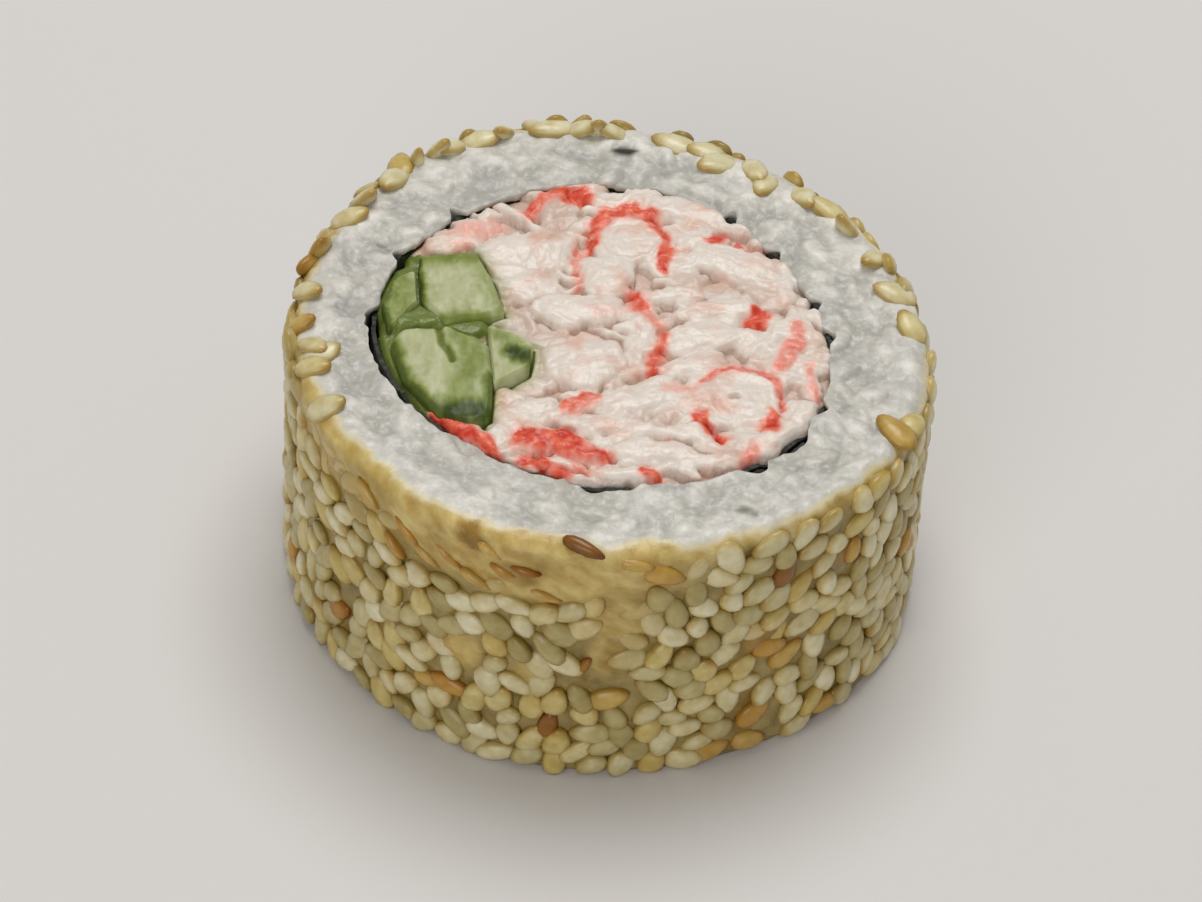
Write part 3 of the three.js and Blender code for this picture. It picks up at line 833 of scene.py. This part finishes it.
def seed_tree():
    """Sesame seeds set on a carrier mesh, turned, leaned, sized and toned one by one."""
    sizes = ("Length", "Width", "Thickness", "Spacing", "Sunk", "Buried")
    tree, given = new_tree(
        "seed coat", **dict.fromkeys(sizes, "Float"), Seed="Int", Material="Material"
    )
    cover, bury, by_hand, ruffle = carried(tree, "cover", "bury", "by_hand", "ruffle")
    upward, outward, tone_set, spin_set = carried(tree, "upward", "outward", "tone_set", "spin_set")
    lean_set, length_set, width_set = carried(tree, "lean_set", "length_set", "width_set")
    place = add_node(tree, "GeometryNodeInputPosition")
    joined = seed_points(tree, given, cover, by_hand)

    flat = add_node(tree, "ShaderNodeVectorMath", [place, (1.0, 1.0, 0.0)], operation="MULTIPLY")
    radial = add_node(tree, "ShaderNodeVectorMath", [flat], operation="NORMALIZE")
    out = add_node(tree, "ShaderNodeVectorMath", {0: radial, "Scale": outward}, operation="SCALE")
    rise = add_node(tree, "ShaderNodeCombineXYZ", {"Z": upward})
    normal = add_node(tree, "ShaderNodeVectorMath", [out, rise], operation="ADD")
    facing = add_node(tree, "FunctionNodeAlignRotationToVector", {"Vector": normal})

    loose = add_node(tree, "ShaderNodeMath", [1.0, by_hand], operation="SUBTRACT")
    any_turn, uneven, any_tone = [
        add_node(tree, "FunctionNodeRandomValue", {2: low, 3: high, "Seed": given["Seed"]}, 1)
        for low, high in ((0.0, 2 * math.pi), (0.55, 1.35), (0.0, 0.83))
    ]
    wobble, any_size = [
        add_node(
            tree,
            "FunctionNodeRandomValue",
            {0: low, 1: high, "Seed": given["Seed"]},
            data_type="FLOAT_VECTOR",
        )
        for low, high in (((-1, -1, 0), (1, 1, 0)), ((0.8, 0.8, 0.85), (1.06, 1.1, 1.15)))
    ]
    free_turn = add_node(tree, "ShaderNodeMath", [any_turn, loose], operation="MULTIPLY")
    spin = add_node(tree, "ShaderNodeMath", [free_turn, spin_set], operation="ADD")
    spun = turned(tree, facing, add_node(tree, "ShaderNodeCombineXYZ", {"Z": spin}))
    ruffles = add_node(
        tree, "ShaderNodeVectorMath", {0: wobble, "Scale": ruffle}, operation="SCALE"
    )
    lean = add_node(tree, "ShaderNodeCombineXYZ", {"X": lean_set})
    leaned = turned(tree, turned(tree, spun, ruffles), lean)
    free_size = add_node(
        tree, "ShaderNodeVectorMath", {0: any_size, "Scale": loose}, operation="SCALE"
    )
    size_set = add_node(tree, "ShaderNodeCombineXYZ", [width_set, length_set, by_hand])
    size = add_node(tree, "ShaderNodeVectorMath", [free_size, size_set], operation="ADD")

    sinking = [bury, given["Buried"], given["Sunk"]]
    depth = add_node(tree, "ShaderNodeMath", sinking, operation="MULTIPLY_ADD")
    own_depth = add_node(tree, "ShaderNodeMath", [depth, uneven], operation="MULTIPLY")
    inward = add_node(tree, "ShaderNodeMath", [own_depth, -1.0], operation="MULTIPLY")
    offset = add_node(tree, "ShaderNodeVectorMath", {0: normal, "Scale": inward}, operation="SCALE")
    settled = add_node(tree, "GeometryNodeSetPosition", {"Geometry": joined, "Offset": offset})
    seed = seed_shape(tree, given, place)
    setting = {"Points": settled, "Instance": seed, "Rotation": leaned, "Scale": size}
    coat = add_node(tree, "GeometryNodeInstanceOnPoints", setting)
    tone = add_node(tree, "ShaderNodeMath", [any_tone, loose, tone_set], operation="MULTIPLY_ADD")
    oiled = add_node(tree, "ShaderNodeMath", [bury, 0.8], operation="MULTIPLY")
    for name, value in (("tone", tone), ("oiled", oiled)):
        mark = {"Geometry": coat, "Name": name, "Value": value}
        coat = add_node(
            tree, "GeometryNodeStoreNamedAttribute", mark, data_type="FLOAT", domain="INSTANCE"
        )
    real = add_node(tree, "GeometryNodeRealizeInstances", [coat])
    floor = (-1.0, -1.0, 0.03 * MM)
    above = add_node(tree, "ShaderNodeVectorMath", [place, floor], operation="MAXIMUM")
    standing = add_node(tree, "GeometryNodeSetPosition", {"Geometry": real, "Position": above})
    smooth = add_node(tree, "GeometryNodeSetShadeSmooth", [standing])
    finish = {"Geometry": smooth, "Material": given["Material"]}
    finished = add_node(tree, "GeometryNodeSetMaterial", finish)
    tree.links.new(finished, tree.nodes.new("NodeGroupOutput").inputs[0])
    return tree


seeds = grown(
    seed_carrier(),
    seed_tree(),
    "sesame_seeds",
    {
        "Length": SEED_LENGTH * MM,
        "Width": SEED_WIDTH * MM,
        "Thickness": SEED_THICKNESS * MM,
        "Spacing": SEED_SPACING * MM,
        "Sunk": SEED_SUNK * MM,
        "Buried": SEED_BURIED * MM,
        "Seed": 5,
        "Material": SESAME,
    },
)
dress(seeds, None, "sesame", "sesame_rice")


# Nori: one strip on edge, rolled a little over one turn

def nori_sheet():
    """The sheet as a strip with a wrinkled, ragged upper edge that stands up where it shows."""
    turns = np.linspace(0, 1 + LAP, 560)
    angle = SEAM_ANGLE + turns * 2 * math.pi
    middle = nori_middle(turns)
    path = round_roll(NOISE_RING, angle, 3 * turns)
    wrinkle = rough(path, 1.1, 3, 7.0) + 0.5 * rough(path, 0.35, 2, 17.0)
    shown, _ = nori_shows(angle)
    top = SLICE_HEIGHT - 0.9 + 0.45 * shown + 0.35 * wrinkle * (0.2 + shown)
    half = NORI_THICKNESS / 2 * (0.75 + 0.2 * rough(path, 0.6, 2, 3.0))
    levels = [0.1, 8.0, 15.0, SLICE_HEIGHT - 2.0]
    section = [(-1, level) for level in levels] + [(-1, None), (1, None)]
    section += [(1, level) for level in reversed(levels)]
    points = []
    for side, level in section:
        radius = middle + side * half + 0.05 * wrinkle
        points.append(round_roll(radius, angle, top if level is None else level))
    columns = len(section)
    points = np.stack(points, 1).reshape(-1, 3)
    faces = ring_faces(len(turns), columns, close_rows=False)
    faces.append(list(range(columns))[::-1])
    faces.append(list(range(len(points) - columns, len(points))))
    return mesh_object("nori_sheet", points, faces, smooth=False)


dress(nori_sheet(), NORI, "nori", "nori")


# Columns with a worked cut face: the filling and the cucumber

WALL_LEVELS = (15.0, 8.0, 0.0)


def disc_grid(count):
    """A square grid drawn onto the unit disc: the radius and angle of each of its points."""
    steps = np.linspace(-1, 1, count)
    a, b = np.meshgrid(steps, steps)
    wide = np.abs(a) >= np.abs(b)
    reach = np.where(wide, a, b)
    share = np.where(wide, b, a) / np.where(reach == 0, 1, reach) * math.pi / 4
    x = np.where(wide, np.cos(share), np.sin(share)) * reach
    y = np.where(wide, np.sin(share), np.cos(share)) * reach
    return np.hypot(x, y), np.arctan2(y, x)


def border(count):
    """Indices of a square grid's border points, in turn."""
    side = np.arange(count - 1)
    last = count - 1
    return np.concatenate(
        [side, last + side * count, last * count + last - side, (last - side) * count]
    )


def column(name, centre, wall, surface_at, count, edge_share):
    """A closed column with its wall at wall(angle) about a centre, and a worked upper face.

    The face is a grid of count by count points, and this share of it is rounded off at its edge.
    """
    share, angle = disc_grid(count)
    x = centre[0] + share * wall(angle) * np.cos(angle)
    y = centre[1] + share * wall(angle) * np.sin(angle)
    x, y = x.ravel(), y.ravel()
    height, values = surface_at(x, y)
    height -= 0.3 * smoothstep(1 - edge_share, 1.0, share.ravel()) ** 2
    edge = border(count)
    rows = [np.column_stack([x, y, height])]
    for level in WALL_LEVELS:
        rows.append(np.column_stack([x[edge], y[edge], np.full(len(edge), level)]))
    rows.append([(centre[0], centre[1], 0.0)])
    points = np.vstack(rows)
    cell = (np.arange(count - 1)[:, None] * count + np.arange(count - 1)[None, :]).ravel()
    faces = np.stack([cell, cell + 1, cell + count + 1, cell + count], 1).tolist()
    upper = edge
    for row in range(len(WALL_LEVELS)):
        lower = count * count + row * len(edge) + np.arange(len(edge))
        following = np.roll(upper, -1), np.roll(lower, -1)
        faces += np.stack([upper, lower, following[1], following[0]], 1).tolist()
        upper = lower
    foot = np.full(len(edge), len(points) - 1)
    faces += np.stack([upper, foot, np.roll(upper, -1)], 1).tolist()
    for label, shares in values.items():
        values[label] = np.concatenate([shares, *[shares[edge]] * len(WALL_LEVELS), [0]])
    return mesh_object(name, points, faces, values)


# Cucumber batons: corners of the cut face, how far it stands proud, and where it is green

BATONS = {
    "cucumber_upper": {
        "corners": [(-13.1, 7.6), (-9, 7.8), (-8, 4.6), (-7.2, 1.4), (-11.4, 0.5), (-13.1, 3)],
        "proud": 0.5,
        "green": [
            (0.95, 0.8, (-13.3, 7.6), (-13.2, 1.4)),
            (0.6, 1.9, (-12.8, 7.4), (-8.8, 7.2)),
            (0.5, 0.9, (-11.8, 0.8), (-8.6, 0.9)),
            (0.3, 1.6, (-8.4, 6.4), (-7.4, 2)),
        ],
        "creases": [],
    },
    "cucumber_lower": {
        "corners": [
            (-13.5, 1.9),
            (-11.4, 0.4),
            (-8.6, 0.4),
            (-8.3, -4.9),
            (-8.6, -9),
            (-10, -9.6),
            (-12.1, -8.5),
            (-14.6, -4.8),
            (-15.4, -1.2),
        ],
        "proud": 0.3,
        "green": [
            (1, 2.2, (-11.4, -8.2), (-9, -8.4)),
            (0.8, 1.1, (-8.4, -5.2), (-8.6, -8.4)),
            (0.85, 1, (-15.4, -0.8), (-14.6, -4.8), (-12, -8.6)),
            (0.45, 1.7, (-10.2, -0.6), (-9.6, -3), (-10.6, -6.4)),
            (0.4, 1.2, (-13.6, 1.4), (-11.6, 0.6)),
        ],
        "creases": [(0.75, 0.5, (-11.9, 0.6), (-11.7, -1.6), (-11, -3.4))],
    },
    "cucumber_left": {
        "corners": [(-15.9, 2.6), (-15, 5.2), (-13.4, 6.3), (-13.3, 2.8), (-15.5, 0)],
        "proud": 0.1,
        "green": [
            (0.9, 1, (-15.2, 5.2), (-16, 2.4), (-15.4, 0.2)),
            (0.45, 2, (-14.4, 4.6), (-14.4, 1.8)),
        ],
        "creases": [],
    },
    "cucumber_right": {
        "corners": [(-8.5, 0.4), (-5.4, -2), (-5.8, -4.5), (-8.3, -5.8)],
        "proud": 0.6,
        "green": [(1, 1.3, (-7, -2.8), (-6, -3.5)), (0.35, 1, (-8.2, -0.6), (-6.6, -2))],
        "creases": [],
    },
}


def polygon_wall(corners, centre):
    """Distance from a centre to a softened polygon, as a function of the angle."""
    around = np.linspace(-math.pi, math.pi, 361)[:-1]
    reach = np.full_like(around, np.inf)
    for (x0, y0), (x1, y1) in zip(corners, corners[1:] + corners[:1]):
        x0, x1 = x0 - centre[0], x1 - centre[0]
        y0, y1 = y0 - centre[1], y1 - centre[1]
        cross = x0 * y1 - x1 * y0
        facing = np.cos(around) * (y1 - y0) - np.sin(around) * (x1 - x0)
        hit = cross / np.where(facing == 0, 1e-9, facing)
        reach = np.where(hit > 0, np.minimum(reach, hit), reach)
    for _ in range(10):
        reach = (np.roll(reach, 1) + 2 * reach + np.roll(reach, -1)) / 4
    return lambda angle: np.interp(angle, around, reach, period=2 * math.pi)


# Crab stick filling: flakes as (x, y, length, width, turn in degrees, level)

FLAKE_SHARPNESS = 8.0
SMALL_FLAKES = 420
STREWN_RADIUS = 15.4

FLAKES = [
    (-2, -3.2, 5.6, 5.2, 20, 0.7),
    (-2, 2.3, 6.4, 3.2, -4, 0.5),
    (0.3, 5.6, 4.2, 3.6, 40, 0.6),
    (-6.8, 8.2, 4.8, 3.8, 20, 0.4),
    (-4, 8.6, 4, 4.4, 70, 0.5),
    (-5.6, 5.2, 4.8, 2.2, 6, 0.2),
    (-10.2, 9.9, 5.6, 2.6, 28, 0),
    (-2.6, 12, 4.6, 2.8, 84, -0.3),
    (-3.4, 14.2, 4.6, 1.6, 40, 0.2),
    (1.6, 13.7, 5.2, 1.8, -4, 0.1),
    (6.4, 12.2, 6.6, 2.8, -24, 0.3),
    (6.6, 9.6, 4.8, 2.6, -30, 0.1),
    (9.4, 6.6, 7, 3.6, -24, 0.6),
    (5.4, 6.2, 3.2, 2.4, -40, -0.1),
    (11.6, 4, 4.4, 2.2, -20, 0.3),
    (4.8, 3.6, 5, 2, 4, 0.3),
    (7.8, 1.8, 6.6, 2.4, 8, 0.5),
    (6.2, -0.9, 5.8, 2.6, 12, 0.4),
    (5.6, -3.4, 5, 2.4, 22, 0.3),
    (10, -1.4, 3, 3.4, 60, 0.1),
    (13.2, 1, 3.8, 2.6, 70, 0.2),
    (12.3, -2.6, 4.8, 1.8, 70, 0.3),
    (14, -4, 6, 1.9, 86, 0),
    (13, -8.6, 3.6, 2.8, 50, 0.4),
    (10.9, -11, 4.8, 2.4, 36, 0.5),
    (8.3, -11.8, 2.4, 4, 10, 0.1),
    (2, -1.6, 6.8, 2.6, 78, 0.1),
    (2, -6.8, 6.6, 2.6, 14, 0.5),
    (4.6, -8.6, 4.6, 1.8, -12, 0.1),
    (-2.4, -7.4, 3.6, 1.7, 26, 0.1),
    (-6, -8, 4.6, 2.8, 12, 0.3),
    (-1, -9.4, 6, 1.7, -6, 0.3),
    (3.4, -10.2, 7.2, 2, -8, 0.5),
    (-5.6, -11.2, 3.2, 2.2, 10, 0.6),
    (-2.8, -11.8, 4.4, 1.8, -22, 0.5),
    (-4.4, -13.2, 4.2, 1.3, -4, 0.4),
    (2.4, -12.2, 7, 2, -6, 0.6),
    (6.2, -13.2, 4.6, 1.8, 12, 0.3),
    (0.4, -14.2, 5.4, 1.5, -2, 0.3),
    (-9.9, -10.6, 6.4, 1.6, -52, 0.5),
    (-7.9, -10.4, 3.2, 1.8, -40, 0.1),
    (-5.7, -4, 2.4, 5, 0, -0.1),
    (-5.2, 0, 3.6, 2, -10, -0.2),
    (-13.6, 7, 2.6, 1.6, 45, 0),
    (3.3, 7.3, 3.6, 2.2, -55, 0),
    (4.6, 7.6, 2.8, 1.8, 30, 0.1),
]

# Stick sections seen end on: their red skin is a rolled rim, as (x, y, across, long, turn, level)
ROLLED_STICKS = [(1.9, 9.3, 5.6, 5.4, 20, 0.5), (8.8, -7.0, 6.0, 5.6, -25, 0.5)]

# Dyed skin: each stroke is (strength, width, places along it)
RED_STROKES = [
    (0.75, 1.1, (-5, 11.9), (-4.2, 13.4), (-3.1, 14.5)),
    (1, 1.2, (-3.1, 14.6), (-1.9, 14.3), (-0.9, 13.9)),
    (0.9, 1, (-0.7, 8.6), (-0.5, 10.2), (0.2, 11.5)),
    (1, 1.2, (0.4, 12), (2, 12.5), (3.6, 12.1)),
    (0.95, 0.85, (3.6, 12.1), (4.4, 9.8), (4.7, 8), (4.3, 6.4)),
    (0.45, 0.7, (-1.6, 8.4), (-1.8, 6.4), (-2, 4.6)),
    (0.9, 1.2, (1.9, 3.6), (2.4, 2.3)),
    (0.5, 1, (2.6, 1.6), (3.6, 0.6)),
    (0.75, 0.9, (3.9, -0.7), (3.2, -2.3), (3, -4.2)),
    (0.65, 0.6, (6.2, -5.4), (7.4, -4.5), (9.6, -4.3), (11.2, -5), (11.9, -6.6), (11.8, -8)),
    (0.95, 1, (10.8, -8.8), (10.2, -10.3)),
    (0.95, 1, (5.9, -8.6), (6.5, -9.9), (7.2, -10.9)),
    (0.6, 0.9, (13.2, 0), (12.9, -1.8), (11.9, -4.2)),
    (0.45, 0.6, (14.1, -3.8), (14, -7)),
    (1, 1.1, (10.8, 1.8), (10.6, 0.8)),
    (0.9, 0.9, (8.4, 9.7), (8.2, 9)),
    (0.8, 0.6, (9.7, 9.3), (11.2, 7.9)),
    (0.35, 1.2, (-10.2, 10.4), (-7.4, 10.8)),
    (0.3, 1, (-10.6, 8.6), (-9.7, 9.2)),
    (0.75, 1, (-3.1, -8), (-1.3, -6.6)),
    (0.35, 1, (4.2, -6), (5.4, -6.1)),
    (1, 1.1, (-12.1, -8), (-11, -9.8), (-9.6, -11.4), (-8.2, -12.7)),
    (1, 1.7, (-6.4, -10.9), (-5.4, -11.3)),
    (1, 1.7, (-3.9, -11), (-3.3, -11.7)),
    (0.8, 1.1, (-2.8, -12), (-1, -12.6)),
    (0.95, 1.1, (-6.2, -12.9), (-5, -14), (-3.9, -14.4)),
    (0.6, 0.8, (-3, -13.5), (-2.5, -13.9)),
    (0.95, 1.1, (1.9, -14.3), (2.5, -14.7)),
    (0.5, 1.1, (9.1, -12.2), (8.8, -13.6)),
]


# Hollows, lowered and painted greyer than the rest as shade: (strength, width, places along)
SHADED_HOLLOWS = [
    (0.6, 1.6, (-3, 10.4), (-2.6, 12.8)),
    (0.45, 1.2, (5.4, 5), (8.4, 4.6), (11.6, 3.4)),
    (0.45, 1.2, (-6.8, 2.6), (-5.2, 0), (-3.6, -0.4)),
    (0.4, 1.2, (-6.6, -4.6), (-5.4, -6.2)),
    (0.7, 0.5, (8.4, -6.9), (8.8, -7)),
    (0.4, 1, (1.4, -9), (3.6, -9)),
    (0.4, 1.4, (7.4, -11.2), (8.4, -12.4)),
]


# Cucumber flesh squeezed between the batons, painted a darker green as shade: (strength, width, places
# along)
BETWEEN_BATONS = [(1.0, 1.5, (-14.6, 1.4), (-12.6, 1.6), (-9.4, 0.6))]


def room_for_batons(x, y):
    """How far the filling makes room for the batons at each place, and how far the green of their
    juice and painted shade reaches.
    """
    room = np.zeros_like(x)
    juice_and_shade = np.zeros_like(x)
    for look in BATONS.values():
        centre = np.mean(look["corners"], axis=0)
        wall = polygon_wall(look["corners"], centre)
        reach = np.hypot(x - centre[0], y - centre[1])
        edge = wall(np.arctan2(y - centre[1], x - centre[0]))
        room = np.maximum(room, 1 - smoothstep(0.0, 0.35, reach - edge))
        juice_and_shade = np.maximum(juice_and_shade, 1 - smoothstep(0.1, 1.5, reach - edge))
    angle = np.arctan2(y, x)
    beside = 1 - smoothstep(29, 34, 180 - np.abs(np.degrees(angle)))
    room = np.maximum(room, beside * smoothstep(-1.6, -1.2, np.hypot(x, y) - core_wall(angle)))
    return room, juice_and_shade


def strewn_flakes(random):
    """Small flakes at random over the whole filling."""
    small = []
    for _ in range(SMALL_FLAKES):
        angle = random.uniform(0, 2 * math.pi)
        radius = STREWN_RADIUS * math.sqrt(random.uniform(0, 1))
        place = radius * math.cos(angle), radius * math.sin(angle)
        size = random.uniform(1.8, 4.0), random.uniform(0.9, 1.8)
        small.append((*place, *size, random.normal(0, 26), random.uniform(-0.5, 0.35)))
    return small


def matted_flakes(x, y):
    """Height of the heaped flakes, and for the uppermost one its fibres, number and body."""
    random = np.random.default_rng(12)
    small = strewn_flakes(random)
    highest = np.full_like(x, -0.85)
    heaped = np.exp(FLAKE_SHARPNESS * highest)
    fibre_u, fibre_v, number, body = (np.zeros_like(x) for _ in range(4))
    for i, (x0, y0, long, wide, turn, level) in enumerate(FLAKES + ROLLED_STICKS + small):
        cosine, sine = math.cos(math.radians(turn)), math.sin(math.radians(turn))
        u = ((x - x0) * cosine + (y - y0) * sine) / (long / 2)
        v = ((y - y0) * cosine - (x - x0) * sine) / (wide / 2)
        crown = np.clip(1 - np.abs(u) ** 2.6 - np.abs(v) ** 2.0, 0, 1) ** 0.5
        pitch, roll = random.uniform(-0.1, 0.1, 2)
        here = 0.7 * level - 0.75 + 0.7 * crown + pitch * u + roll * v
        here = np.where(crown > 0, here, -3.0)
        heaped += np.exp(FLAKE_SHARPNESS * here)
        on_top = here > highest
        highest = np.where(on_top, here, highest)
        fibre_u = np.where(on_top, u * long / 2, fibre_u)
        fibre_v = np.where(on_top, v * wide / 2, fibre_v)
        number = np.where(on_top, i, number)
        body = np.where(on_top, crown, body)
    height = np.log(heaped) / FLAKE_SHARPNESS - 0.1
    for x0, y0, across, *_ in ROLLED_STICKS:
        away = np.hypot(x - x0, y - y0) / (across / 2)
        height -= 0.18 * (1 - smoothstep(0.6, 0.8, away)) + 0.12 * np.exp(-((away / 0.14) ** 2))
        fibre_v = np.where(away < 0.9, 0.3 * away * across, fibre_v)
    return height, fibre_u, fibre_v, number, smoothstep(0.1, 0.7, body)


def crab_surface(x, y):
    """Height and attributes of the matted flakes, which run softly into each other."""
    room, juice_and_shade = room_for_batons(x, y)
    flat = np.column_stack([x, y, np.zeros_like(x)])
    wave_x = rough(flat, 1.9, 3, 1.0)
    wave_y = rough(flat, 1.9, 3, 6.0)
    fine = rough(flat, 0.7, 2, 8.0)
    x = x + 0.5 * wave_x + 0.12 * fine
    y = y + 0.5 * wave_y - 0.12 * fine
    height, fibre_u, fibre_v, number, body = matted_flakes(x, y)
    ridges = np.column_stack([fibre_u * 0.3, fibre_v * 2.2, number * 3.7])
    height += 0.05 * rough(ridges, 1.0, 2, 2.0) * body + 0.06 * fine
    shaded_hollow = strokes_over(x, y, SHADED_HOLLOWS)
    height -= 0.3 * shaded_hollow
    # Painted shade in the hollows and wherever the flakes lie low.
    hollow_shade = np.maximum(shaded_hollow, 0.5 * smoothstep(-0.25, -0.75, height))
    between = strokes_over(x, y, BETWEEN_BATONS)
    height = height * (1 - room) - 0.9 * room
    height = height * (1 - between) - 0.15 * between
    room = np.maximum(room, between)
    values = {
        "fibre_u": fibre_u,
        "fibre_v": fibre_v,
        "number": number,
        "red": np.clip(strokes_over(x, y, RED_STROKES) * (1.0 + 0.45 * fine), 0, 1),
        "hollow_shade": hollow_shade,
        # Green beside the batons: partly juice, partly painted shade where the filling sinks.
        "juice_and_shade": np.maximum(0.5 * juice_and_shade, smoothstep(0.05, 0.5, room)),
        "body": body,
    }
    return SLICE_HEIGHT + 0.1 + height, values


def filling_wall(angle):
    """The filling's wall, drawn in a little where the nori shows a gap."""
    shown, gap = nori_shows(angle)
    return core_wall(angle) - 0.3 * gap + (1 - shown) * 0.3


crab = column("crab_stick", (0, 0), filling_wall, crab_surface, count=270, edge_share=0.03)
dress(crab, CRAB, "crab_stick", "crab_filling")


# Cucumber

def baton(name, corners, proud, green, creases):
    """A cucumber baton with a soft, streaked cut face, green where its peel or a crease is."""
    centre = tuple(np.mean(corners, axis=0))

    def cut_face(x, y):
        flat = np.column_stack([x, y, np.full_like(x, proud)])
        soft = rough(flat, 1.6, 3, 21.0)
        streaks = rough(flat * (1.8, 0.5, 1), 0.8, 2, 4.0)
        away = np.hypot(x - centre[0], y - centre[1]) / 3.5
        height = SLICE_HEIGHT + proud + 0.05 * (x - centre[0]) + 0.2 * soft + 0.02 * streaks
        height -= 0.16 * away**2 + 0.3 * strokes_over(x + 0.2 * soft, y, creases)
        shade = strokes_over(x + 0.3 * soft, y + 0.3 * streaks, [*green, *creases])
        return height, {"green": shade}

    wall = polygon_wall(corners, centre)
    return column(name, centre, wall, cut_face, count=70, edge_share=0.14)


for node, look in BATONS.items():
    dress(baton(node + "_cut", **look), CUCUMBER, "cucumber", node)


# Floor, light and camera

def stage_floor():
    bpy.ops.mesh.primitive_plane_add(size=3.0, location=(0, 0, 0))
    floor = bpy.context.object
    floor.name = "floor"
    floor.data.materials.append(FLOOR)


def studio_light(name, place_mm, size_mm, watts):
    lamp = bpy.data.lights.new(name, "AREA")
    lamp.shape = "DISK"
    lamp.size = size_mm * MM
    lamp.energy = watts
    holder = bpy.data.objects.new(name, lamp)
    holder.location = Vector(place_mm) * MM
    aim = -holder.location
    holder.rotation_euler = aim.to_track_quat("-Z", "Y").to_euler()
    bpy.context.scene.collection.objects.link(holder)


def photo_camera():
    forward = Vector((0, math.cos(CAMERA_TILT), -math.sin(CAMERA_TILT)))
    up = Vector((0, math.sin(CAMERA_TILT), math.cos(CAMERA_TILT)))
    across = (FACE_CENTRE_PIXEL[0] - PHOTO_CENTRE[0]) / PHOTO_FOCAL
    down = (FACE_CENTRE_PIXEL[1] - PHOTO_CENTRE[1]) / PHOTO_FOCAL
    sight = forward + Vector((across, 0, 0)) - down * up
    eye = Vector((0, 0, SLICE_HEIGHT)) - FACE_DEPTH * sight
    look = (Vector((0, 0, 0.45 * SLICE_HEIGHT)) - eye).normalized()
    right = look.cross(up).normalized()
    level_up = right.cross(look)
    camera_data = bpy.data.cameras.new("camera")
    camera_data.sensor_width = SENSOR_WIDTH
    camera_data.lens = CLOSER * SENSOR_WIDTH * PHOTO_FOCAL / PHOTO_WIDTH
    camera_data.clip_start = 0.01
    camera = bpy.data.objects.new("camera", camera_data)
    turn = Matrix((right, level_up, -look)).transposed().to_4x4()
    camera.matrix_world = Matrix.Translation(eye * MM) @ turn
    bpy.context.scene.collection.objects.link(camera)
    bpy.context.scene.camera = camera


stage_floor()
studio_light("key", place_mm=(40, 170, 540), size_mm=360, watts=1.75)
studio_light("fill", place_mm=(-230, -500, 320), size_mm=380, watts=0.95)
world = bpy.data.worlds.new("studio")
world.use_nodes = True
glow = {"Color": "#f4f2f0", "Strength": 0.36}
fill(world.node_tree, world.node_tree.nodes["Background"], glow)
bpy.context.scene.world = world
bpy.context.scene.view_settings.view_transform = "Standard"
photo_camera()
